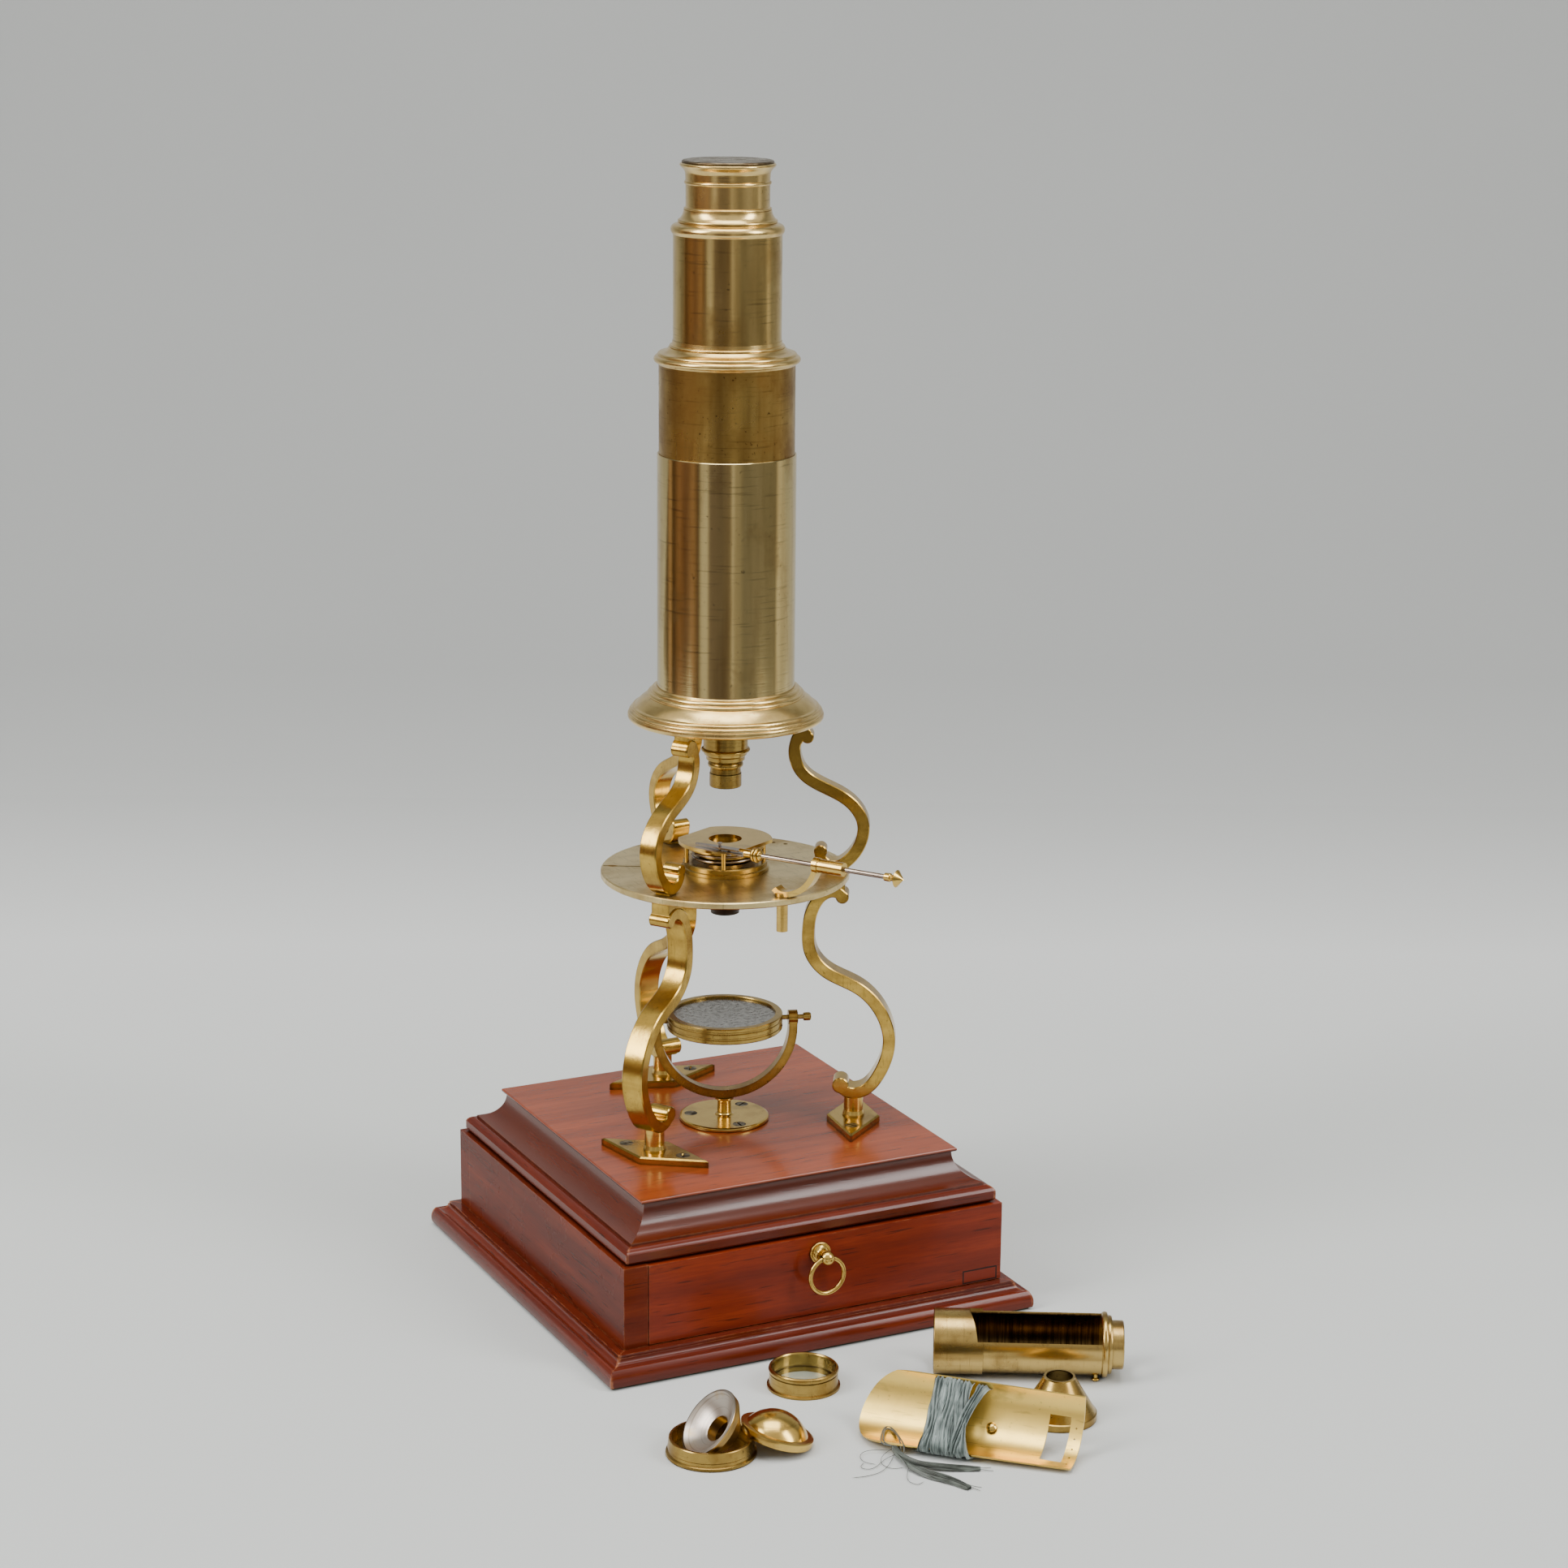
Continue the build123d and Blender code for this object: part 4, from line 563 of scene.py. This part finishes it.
# %% Meshes from grids
def map_spots(rows, cols):
    """Places from (0, 0) to (1, 1) in a UV map for a grid of rows by cols points."""
    spots = np.meshgrid(np.linspace(0, 1, rows), np.linspace(0, 1, cols), indexing="ij")
    return np.stack(spots, axis=-1).reshape(-1, 2)


def mapped_mesh(name, points, quads, spots):
    """Smooth mesh of quads, each point of which has a spot in the UV map."""
    mesh = bpy.data.meshes.new(name)
    mesh.from_pydata(points.tolist(), [], quads.tolist())
    uv = mesh.uv_layers.new(name="UVMap")
    uv.data.foreach_set("uv", spots[quads.reshape(-1)].ravel())
    mesh.polygons.foreach_set("use_smooth", np.ones(len(quads), bool))
    return mesh


def grid_mesh(name, grid):
    """Mesh of quads over a grid of points, with a UV map that runs along and across it."""
    rows, cols = grid.shape[:2]
    index = np.arange(rows * cols).reshape(rows, cols)
    quads = np.stack([index[:-1, :-1], index[1:, :-1], index[1:, 1:], index[:-1, 1:]], axis=-1)
    return mapped_mesh(name, grid.reshape(-1, 3), quads.reshape(-1, 4), map_spots(rows, cols))


def show(name, mesh, material, body):
    """Puts a mesh into the scene with its finish, riding on a body."""
    piece = bpy.data.objects.new(name, mesh)
    bpy.context.scene.collection.objects.link(piece)
    piece.data.materials.append(material)
    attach(piece, body)
    return piece


# %% [markdown]
# The wound part goes round a D-shape: down and along the outside of the trough, then straight
# across its open top. The trough lies askew on the table, so the D is worked out in the trough's
# own directions: `along`, `side` and up. Each turn starts at a place along the trough's front edge
# and crosses to another at its back edge, so the turns lean and cross each other. The last turn
# is slack: it shows more of its width and stands off the others.

# %% The D round the trough
lean_turn = math.radians(trough_turn)
corner = np.array([-0.0332, -0.1732, 0.0013])  # where the front edge starts, at the underside's height
along = np.array([math.cos(lean_turn), math.sin(lean_turn), 0.0])
side = np.array([-math.sin(lean_turn), math.cos(lean_turn), 0.0])
upward = np.array([0.0, 0.0, 1.0])
trough_r = 17.5 * MM
front_edge = math.radians(-116.4)  # angles round the trough's axis, from level at its back
back_edge = math.radians(6.75)  # 26 mm along the trough; the edge runs down from there
back_slope = math.radians(0.289)  # for each millimetre along
middle_side = -trough_r * math.cos(front_edge)
cloth_off = 0.75 * MM  # from the brass to the middle of the folds
corner_rise = 1.85 * MM  # how far the brass edges hold the straight run up
arc_share, run_share = 0.55, 0.45  # of a turn: outside, and straight back


def d_loop(phase, where):
    """Point and outward direction on the D, and how far it is onto the straight run.

    The arc under the trough is the point at radius r and an angle that grows evenly from its front
    edge to its back edge. The rest of the phase is the straight run back from b to a, at b plus a
    share of a - b, lifted along its normal.
    """
    back = back_edge - back_slope * (where / MM - 26)
    share = np.clip(phase / arc_share, 0, 1)
    angle = front_edge + (back - front_edge) * share
    r = trough_r + cloth_off
    arc = np.stack([middle_side + r * np.cos(angle), trough_r + r * np.sin(angle)], axis=-1)
    out = np.stack([np.cos(angle), np.sin(angle)], axis=-1)
    a = np.array([[middle_side + r * math.cos(front_edge), trough_r + r * math.sin(front_edge)]])
    b = np.stack([middle_side + r * np.cos(back), trough_r + r * np.sin(back)], axis=-1)
    normal = unit(np.stack([a[..., 1] - b[..., 1], b[..., 0] - a[..., 0]], axis=-1))
    over = np.clip((phase - arc_share) / run_share, 0, 1)[..., None]
    lift = (corner_rise + cloth_off) * np.clip(np.minimum(over, 1 - over) / 0.05, 0, 1)
    run = b + (a - b) * over + normal * lift
    on_run = (phase > arc_share)[..., None]
    return np.where(on_run, run, arc), np.where(on_run, normal, out), over[..., 0] * on_run[..., 0]


# %% Wind the ribbon
def soften(line, reach):
    """Running mean over a few neighbours, which rounds the corners where the cloth bends."""
    padded = np.pad(line, ((reach, reach), (0, 0)), mode="edge")
    window = np.ones(2 * reach + 1) / (2 * reach + 1)
    columns = [np.convolve(column, window, mode="valid") for column in padded.T]
    return np.stack(columns, axis=-1)


ribbon_wide = 10.0 * MM
# places along the trough, in millimetres, at the front edge and then at the back edge of each turn
front_places = [29.2, 30.4, 31.2, 35.4, 35.8, 39.8, 42.6, 39.4]
back_places = [31.2, 29.8, 35.0, 32.8, 38.2, 36.4, 45.4]
heights = [0.0, 0.9, 0.2, 1.2, 0.3, 1.0, 1.7]  # of each turn over the first, where it crosses the top
turns = len(back_places)
steps = np.linspace(0, turns, 1000)
phase = np.where(steps < turns, steps % 1.0, 1.0)
knots = np.sort(np.concatenate([np.arange(turns + 1), np.arange(turns) + arc_share]))
places = [spot for pair in zip(front_places, back_places) for spot in pair] + front_places[-1:]
drift = np.interp(steps, knots, places) * MM
flat_point, flat_out, over = d_loop(phase, drift)
turn_of = np.minimum(steps.astype(int), turns - 1)
mound = np.sin(np.pi * over) ** 0.5
flat_point = flat_point + flat_out * (np.array(heights)[turn_of] * MM * mound)[:, None]
middle = corner + along * drift[:, None] + side * flat_point[:, :1] + upward * flat_point[:, 1:]
outward = side * flat_out[:, :1] + upward * flat_out[:, 1:]
middle, outward = soften(middle, 4), soften(outward, 6)
outward = unit(outward)
across = unit(np.cross(unit(np.gradient(middle, axis=0)), outward))
slack = np.interp(steps, [0, turns - 1, turns - 0.45, turns - 0.25, turns], [5.4, 5.4, 3.6, 4.6, 4.0])
shown = np.where(phase < arc_share, 8.6, slack + 0.7 * np.sin(5.3 * steps)) * MM
shown = soften(shown[:, None], 12)[:, 0]
wound = gathered_strip(middle, across, outward, ribbon_wide, shown, 3.0, seed=4)
lowest = 0.15 * MM  # no cloth goes into the table
wound[..., 2] = np.maximum(wound[..., 2], lowest)
length = float(np.linalg.norm(np.diff(middle, axis=0), axis=1).sum())
print("wound ribbon", round(length / MM), "mm long")

# %% [markdown]
# The ribbon's end has come apart into two tails, side by side on the table. They are narrow and
# thick where they leave the winding, widen, and end in a point of threads. Each is the same
# gathered strip as the winding, along a smooth line through a few places where the cloth lies.


# %% Smooth lines
def smooth_line(points, count):
    """Even points on a quadratic B-spline from the first point to the last.

    Each piece blends three points, by (1-t)²/2, 1/2+t-t² and t²/2. The end points count twice.
    """
    p = np.array(points, float) * MM
    p = np.vstack([p[0], p, p[-1]])
    t = np.linspace(0, 1, 25)[:, None]
    line = np.concatenate([a * (1 - t) ** 2 / 2 + b * (0.5 + t - t ** 2) + c * t ** 2 / 2
                           for a, b, c in zip(p, p[1:], p[2:])])
    gone = gone_along(line)
    even = np.linspace(0, gone[-1], count)
    return np.stack([np.interp(even, gone, part) for part in line.T], axis=-1)


def ways(line):
    """Forward and level directions at each point of a line: its slope, and its slope crossed with up."""
    forward = unit(np.gradient(line, axis=0))
    return forward, unit(np.cross(forward, upward))


# %% The loose end
def tail(points, shown_mm, twist, seed):
    """Gathered strip along a line on the table, turned about its line by twist degrees at most."""
    line = smooth_line(points, 150)
    forward, level = ways(line)
    u = np.linspace(0, 1, len(line))
    roll = np.radians(twist) * np.sin(2 * np.pi * u)[:, None]
    wide_way = level * np.cos(roll) + upward * np.sin(roll)
    up = np.cross(wide_way, forward)
    shown = np.interp(u, np.linspace(0, 1, len(shown_mm)), shown_mm) * MM
    grid = gathered_strip(line, wide_way, up, ribbon_wide, shown, 4.0, seed, columns=65)
    grid[..., 2] = np.maximum(grid[..., 2], lowest)
    return grid, float(np.linalg.norm(np.diff(line, axis=0), axis=1).sum())


upper_line = [(-20.6, -186.0, 2.6), (-21.2, -192.5, 2.2), (-20.0, -198.8, 2.0), (-16.4, -203.6, 1.9),
              (-9.6, -207.8, 1.4), (-3.7, -210.4, 1.1), (0.6, -212.5, 0.8)]
lower_line = [(-20.9, -186.8, 1.8), (-21.6, -194.2, 1.5), (-20.8, -201.8, 1.3), (-18.2, -208.8, 1.2),
              (-14.8, -214.8, 1.1), (-12.2, -219.6, 1.0), (-10.6, -224.4, 0.8)]
upper_tail, upper_long = tail(upper_line, [1.4, 2.4, 3.6, 3.4, 2.8, 2.6, 2.2], 14, seed=11)
lower_tail, lower_long = tail(lower_line, [1.4, 2.2, 4.0, 4.8, 4.4, 3.4, 2.4], 12, seed=12)
print("tails", round(upper_long / MM), "and", round(lower_long / MM), "mm long")

# %% [markdown]
# Two stiff loops stand up over the plate, and thin stray threads curl on the table. A thread is a
# thin tube along a smooth line, and one mesh holds them all.


# %% Loops and stray threads
def threads(name, paths, thick_mm, count=60, sides=5):
    """Fine threads in one mesh, with count rings of so many sides along each path.

    A ring's points are at line + (level·cos t + up·sin t)·thick_mm/2, and the radius shrinks over
    the last three rings to a tip at each end.
    """
    rings, quads = [], []
    turn = np.linspace(0, 2 * np.pi, sides + 1)[:-1]
    order = np.arange(count)
    taper = np.clip(np.minimum(order, order[::-1]) / 3, 0.05, 1)[:, None, None]
    for path in paths:
        line = smooth_line(path, count)
        forward, level = ways(line)
        up = np.cross(level, forward)
        ring = level[:, None] * np.cos(turn)[None, :, None] + up[:, None] * np.sin(turn)[None, :, None]
        first = len(rings) * count * sides + order[:-1, None] * sides
        a = first + np.arange(sides)[None, :]
        b = first + (np.arange(sides)[None, :] + 1) % sides
        rings.append((line[:, None] + ring * taper * thick_mm / 2 * MM).reshape(-1, 3))
        quads.append(np.stack([a, b, b + sides, a + sides], axis=-1).reshape(-1, 4))
    spots = np.tile(map_spots(count, sides), (len(paths), 1))
    return mapped_mesh(name, np.concatenate(rings), np.concatenate(quads), spots)


loop_paths = [
    [(-20.5, -186.5, 2.6), (-25.0, -184.0, 3.6), (-19.8, -175.6, 3.4), (-15.7, -170.8, 3.1),
     (-14.0, -172.8, 3.1), (-15.8, -182.2, 3.3), (-18.0, -189.5, 4.0), (-19.5, -192.0, 1.6)],
    [(-20.0, -186.0, 2.4), (-23.8, -184.6, 3.7), (-20.2, -177.4, 3.5), (-16.2, -172.2, 3.2),
     (-14.8, -175.8, 3.2), (-17.0, -184.6, 3.6), (-19.6, -190.0, 2.6)],
]
stray_paths = [
    [(-21.0, -187.0, 1.6), (-29.0, -182.0, 1.2), (-33.0, -183.0, 0.5), (-34.6, -188.5, 0.4),
     (-31.0, -192.6, 0.4)],
    [(-20.4, -187.0, 1.4), (-24.0, -192.0, 0.8), (-31.0, -198.6, 0.4), (-38.0, -199.8, 0.4),
     (-44.0, -198.4, 0.4)],
    [(-20.0, -189.0, 1.0), (-26.0, -190.0, 0.6), (-34.0, -196.0, 0.4), (-38.0, -192.6, 0.4),
     (-34.0, -189.0, 0.4)],
    [(-19.0, -196.0, 0.8), (-24.0, -203.0, 0.5), (-27.4, -209.0, 0.4), (-25.6, -213.8, 0.4),
     (-22.0, -212.0, 0.4)],
    [(-20.6, -186.0, 2.0), (-26.4, -188.0, 1.0), (-29.6, -193.0, 0.4), (-27.6, -198.4, 0.4),
     (-23.0, -199.0, 0.4)],
    [(-10.6, -221.0, 0.7), (-9.0, -224.4, 0.5), (-7.6, -227.0, 0.4)],
    [(-10.0, -220.6, 0.8), (-8.2, -223.0, 0.5), (-5.8, -225.0, 0.4)],
    [(-0.6, -211.8, 0.8), (2.4, -214.0, 0.5), (4.6, -215.2, 0.4)],
    [(-0.2, -211.0, 0.8), (2.6, -212.0, 0.5), (5.2, -212.4, 0.4)],
    [(-15.4, -212.0, 0.9), (-13.0, -217.0, 0.6), (-11.6, -224.0, 0.4)],
]
loose_loops = threads("silk_loops", loop_paths, 0.6)
stray_threads = threads("silk_threads", stray_paths, 0.22)
print(len(loop_paths), "loops and", len(stray_paths), "stray threads")

# %% [markdown]
# Silk has a soft sheen along its threads. The weave is too fine to see at this size, so ribs are
# drawn about 0.4 mm apart along the strip's own UV map: a pattern in the strip's own directions
# follows every turn. The ends have gone browner where they have been handled.


# %% Silk
def ribbed_silk(name, light, dark, long_mm):
    """Blue-grey silk whose ribs, 0.4 mm apart over a width of 10 mm, run along a strip of long_mm."""
    material, tree, place = new_material(name)
    strip_place = add(tree, "UVMap")
    ribs = add(tree, "Mapping", {"Vector": strip_place, "Scale": (long_mm / 18, 25.0, 1.0)})
    ribs = add(tree, "TexNoise", {"Vector": ribs, "Scale": 1.0, "Detail": 4.0})
    faded = add(tree, "TexNoise", {"Vector": place, "Scale": per(5), "Detail": 3.0})
    tone = add(tree, "Mix", {0: 0.4, 2: ribs, 3: faded}, data_type="FLOAT")
    colour = add(tree, "ValToRGB", {0: tone}, stops=[(0.38, dark), (0.60, light)])
    shade = closed_in(tree, 0.9, [(0.15, 0.65), (0.75, 0.0)])
    colour = add(tree, "Mix", {0: shade, 6: colour, 7: dark}, **in_colour)
    bump = add(tree, "Bump", {"Strength": 1.0, "Distance": 0.05 * MM, "Height": ribs})
    shader = add(tree, "BsdfPrincipled", {"Base Color": colour, "Normal": bump, "Roughness": 0.5,
                                          "Sheen Weight": 0.4, "Sheen Roughness": 0.4})
    return finished(material, tree, shader)


grey_silk = ribbed_silk("ribbed_silk_ribbon", "#98a5a0", "#3e4a48", length / MM)
brown_silk = ribbed_silk("handled_silk_ribbon", "#70776f", "#33352e", upper_long / MM)
thread_silk = ribbed_silk("frayed_silk_thread", "#5c6058", "#2c2e28", upper_long / MM)

# %% Lay the silk down
ribbon = show("silk_ribbon", grid_mesh("silk_ribbon", wound), grey_silk, "fish_plate_set")
upper = show("silk_tail_upper", grid_mesh("silk_tail_upper", upper_tail), brown_silk, "fish_plate_set")
lower = show("silk_tail_lower", grid_mesh("silk_tail_lower", lower_tail), brown_silk, "fish_plate_set")
loops = show("silk_loops", loose_loops, thread_silk, "fish_plate_set")
stray = show("silk_threads", stray_threads, thread_silk, "fish_plate_set")
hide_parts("ribbon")

# %% [markdown]
# ## The spring of the press plate
# The wire spring stands on the fixed ring and carries the press plate. As the plate goes down the
# spring gets shorter, and its foot stays on the ring. A CAD piece keeps its mesh at every pose. A
# copy with its loose triangles joined stands in for it and moves whole with the plate.

# %% The wire spring
same_point = 0.001 * MM
cut_end = math.radians(40)  # a corner sharper than this is the end of the wire
wire = nodes["stage_spring"].data.copy()
wire.materials.clear()
shell = bmesh.new()
shell.from_mesh(wire)
bmesh.ops.remove_doubles(shell, verts=shell.verts, dist=same_point)
shell.to_mesh(wire)
shell.free()
wire.set_sharp_from_angle(angle=cut_end)
spring = show("wire_spring", wire, rod_steel, "press_plate")
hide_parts("stage_spring")
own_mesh(spring)

# %% [markdown]
# ## Studio
# A pale paper sweep runs under the object and curves up behind it. Two large soft lights stand
# left and right, and a wide one hangs above. Polished brass shows what stands round it: an upright
# tube, seen from a little above, shows the room just over the edge of the table. So the paper that
# the brass can see is a small one, and the room beyond it is a ring of tones: dim browns to the
# left, greys to the right, and pale upright screens between them. A plain floor of the same tone
# carries on where only the eye, and not the brass, sees it.


# %% Surfaces of the studio
view_turn, view_tip, view_roll = map(math.radians, (-26.555, 14.470, 0.48))
away = np.array([-math.sin(view_turn), math.cos(view_turn), 0.0])
right = np.array([math.cos(view_turn), math.sin(view_turn), 0.0])


def sweep(width, line):
    """Sheet whose points are away·depth + up·height + right·x, with five places x across its width."""
    x = np.linspace(width / 2, -width / 2, 5)
    line = np.array(line)
    flat = away * line[:, None, :1] + upward * line[:, None, 1:]
    return flat + right * x[None, :, None]


def quarter(far, bend, high):
    """Line of the backdrop: far + bend·sin and bend·(1 - cos) over a quarter circle, then straight up."""
    angle = np.linspace(0, math.pi / 2, 24)
    curve = np.stack([far + bend * np.sin(angle), bend * (1 - np.cos(angle))], axis=-1)
    return np.concatenate([curve, [(far + bend, high)]])


# %% Paper
material, tree, place = new_material("matt_grey_paper")
height = add(tree, "SeparateXYZ", {0: place}, out="Z")
depth = add(tree, "VectorMath", {0: place, 1: tuple(away)}, out="Value", operation="DOT_PRODUCT")
behind = add(tree, "Math", {0: depth, 1: 1 / 3.0, 2: 1 / 3.0}, operation="MULTIPLY_ADD")
# painted light: the paper is brighter in a band behind the object and darker further back and up the
# backdrop, standing in for how the lamps' light falls on it
fade = [(0.0, "#cfd1ce"), (0.40, "#cfd1ce"), (0.48, "#dbdcda"), (0.56, "#c6c7c5"), (0.66, "#b0b1af"),
        (1.0, "#b0b1af")]
tone = add(tree, "ValToRGB", {0: behind}, stops=fade)
paper_grain = add(tree, "TexNoise", {"Vector": place, "Scale": per(400), "Detail": 2.0})
shade = add(tree, "ValToRGB", {0: paper_grain}, stops=[(0.3, 0.97), (0.7, 1.0)])
tone = add(tree, "Mix", {0: 1.0, 6: tone, 7: shade}, **in_colour, blend_type="MULTIPLY")
shader = add(tree, "BsdfPrincipled", {"Base Color": tone, "Roughness": 0.9, "Specular IOR Level": 0.2})
paper = finished(material, tree, shader)

# %% Floor and backdrop
bend_at = 0.75  # how far behind the object the paper starts to curve up
under = -0.0002  # the wide floor lies just under the sheet
parts = {
    "paper_sheet": sweep(1.9, [(-0.55, 0.0), (bend_at, 0.0)]),
    "paper_floor": sweep(9.0, [(-3.0, under), (bend_at, under)]),
    "paper_sweep": sweep(9.0, quarter(bend_at, 0.9, 4.0)),
}
for name, grid in parts.items():
    sheet = bpy.data.objects.new(name, grid_mesh(name, grid))
    bpy.context.scene.collection.objects.link(sheet)
    sheet.data.materials.append(paper)
    sheet.visible_glossy = name != "paper_floor"
print("paper faces", round(Vector(bpy.data.meshes["paper_sheet"].polygons[0].normal)[2], 2))


# %% Lights
def soft_light(name, place, aim, size, power):
    """Rectangular soft box at a place, facing another, with a size in metres and a power in watts."""
    data = bpy.data.lights.new(name, "AREA")
    data.shape = "RECTANGLE"
    data.size, data.size_y = size
    data.energy = power
    lamp = bpy.data.objects.new(name, data)
    bpy.context.scene.collection.objects.link(lamp)
    lamp.location = place
    lamp.rotation_euler = (Vector(aim) - Vector(place)).to_track_quat("-Z", "Y").to_euler()
    return lamp


def around(distance, degrees, height):
    """Place at a plan angle from the viewing direction: 0 is at the camera, 90 to its right."""
    t = math.radians(degrees)
    spot = -away * math.cos(t) + right * math.sin(t)
    return tuple(float(v) for v in spot * distance + upward * height)


lamps = [
    soft_light("key_box", around(1.6, -62, 1.35), (0, 0, 0.2), (0.7, 1.3), 30),
    soft_light("side_box", around(1.7, 64, 1.2), (0, 0, 0.15), (0.6, 1.2), 22),
    soft_light("top_box", around(0.2, 0, 2.2), (0, 0, 0), (1.6, 1.2), 34),
]
print("lamps", [lamp.name for lamp in lamps])

# %% [markdown]
# The room itself is a ring of tones round the object, given by compass angle from the camera. An
# upright tube of radius R shows, at a distance x to the right of its middle, what stands at twice
# the angle whose sine is x/R, so a ring of tones puts each stripe where it belongs without a model
# of the room. It is seen in reflections only; everything else gets an even pale light. Steep
# directions show a pale ceiling instead.

# %% Room tones
world = bpy.data.worlds.new("studio_room")
bpy.context.scene.world = world
world.use_nodes = True
tree = world.node_tree
tree.nodes.clear()
pale_ceiling = "#ece8de"
even_light = "#b4b5b3"
# angle in degrees from the camera, positive to its right, and the tone that stands there
room = [(-180, "#a9a9a5"), (-130, "#94908a"), (-122, "#8f8470"), (-114, "#5a4a38"), (-106, "#c4a484"),
        (-98, "#4a3826"), (-84, "#98745a"), (-70, "#745646"), (-56, "#a4846a"), (-46, "#56422c"),
        (-41, "#d2cfca"), (-31, "#d8d6d0"), (-27, "#7e7470"), (-6, "#766e69"), (8, "#857a6e"),
        (10, "#d8d4cc"), (13, "#d2cec6"), (15, "#aaa498"), (24, "#a09c92"), (30, "#86847e"),
        (55, "#8e8b84"), (78, "#88857c"), (90, "#8c8980"), (96, "#ece8de"), (101, "#dedacf"),
        (107, "#c4c1b8"), (120, "#c8c6be"), (180, "#b4b3af")]
facing = add(tree, "TexCoord", out="Generated")
rightward = add(tree, "VectorMath", {0: facing, 1: tuple(right)}, out="Value", operation="DOT_PRODUCT")
nearer = add(tree, "VectorMath", {0: facing, 1: tuple(-away)}, out="Value", operation="DOT_PRODUCT")
compass = add(tree, "Math", {0: rightward, 1: nearer}, operation="ARCTAN2")
compass = add(tree, "Math", {0: compass, 1: 0.5 / math.pi, 2: 0.5}, operation="MULTIPLY_ADD")
ring = add(tree, "ValToRGB", {0: compass}, stops=[(angle / 360 + 0.5, tone) for angle, tone in room])
steep = add(tree, "SeparateXYZ", {0: facing}, out="Z")
steep = add(tree, "Math", {0: steep, 1: 0.5, 2: 0.5}, operation="MULTIPLY_ADD")
ceiling = add(tree, "ValToRGB", {0: steep}, stops=[(0.55, 0.0), (0.70, 1.0)])
ring = add(tree, "Mix", {0: ceiling, 6: ring, 7: pale_ceiling}, **in_colour)
mirrored = add(tree, "LightPath", out="Is Glossy Ray")
seen = add(tree, "Mix", {0: mirrored, 6: even_light, 7: ring}, **in_colour)
sky = add(tree, "Background", {"Color": seen, "Strength": 0.9})
add(tree, "OutputWorld", {"Surface": sky})
print(len(room), "tones round the room")

# %% [markdown]
# ## Camera
# A long lens from a little above, turned to the front left corner of the foot. The place and the
# turn are set straight in its matrix, whose columns are the camera's right, up and back.

# %% Camera
camera = bpy.data.objects.new("camera", bpy.data.cameras.new("camera"))
bpy.context.scene.collection.objects.link(camera)
bpy.context.scene.camera = camera
camera.data.lens = 79.72
camera.data.sensor_width = 36.0
eye_place = (-0.57474, -1.20184, 0.54807)
back = -away * math.cos(view_tip) + upward * math.sin(view_tip)
over = np.cross(back, right)
sideways = right * math.cos(view_roll) + over * math.sin(view_roll)
over = -right * math.sin(view_roll) + over * math.cos(view_roll)
turned = Matrix(np.stack([sideways, over, back], axis=1).tolist()).to_4x4()
camera.matrix_world = Matrix.Translation(eye_place) @ turned
camera.data.clip_start, camera.data.clip_end = 0.05, 20
print("camera", [round(v, 3) for v in camera.location])
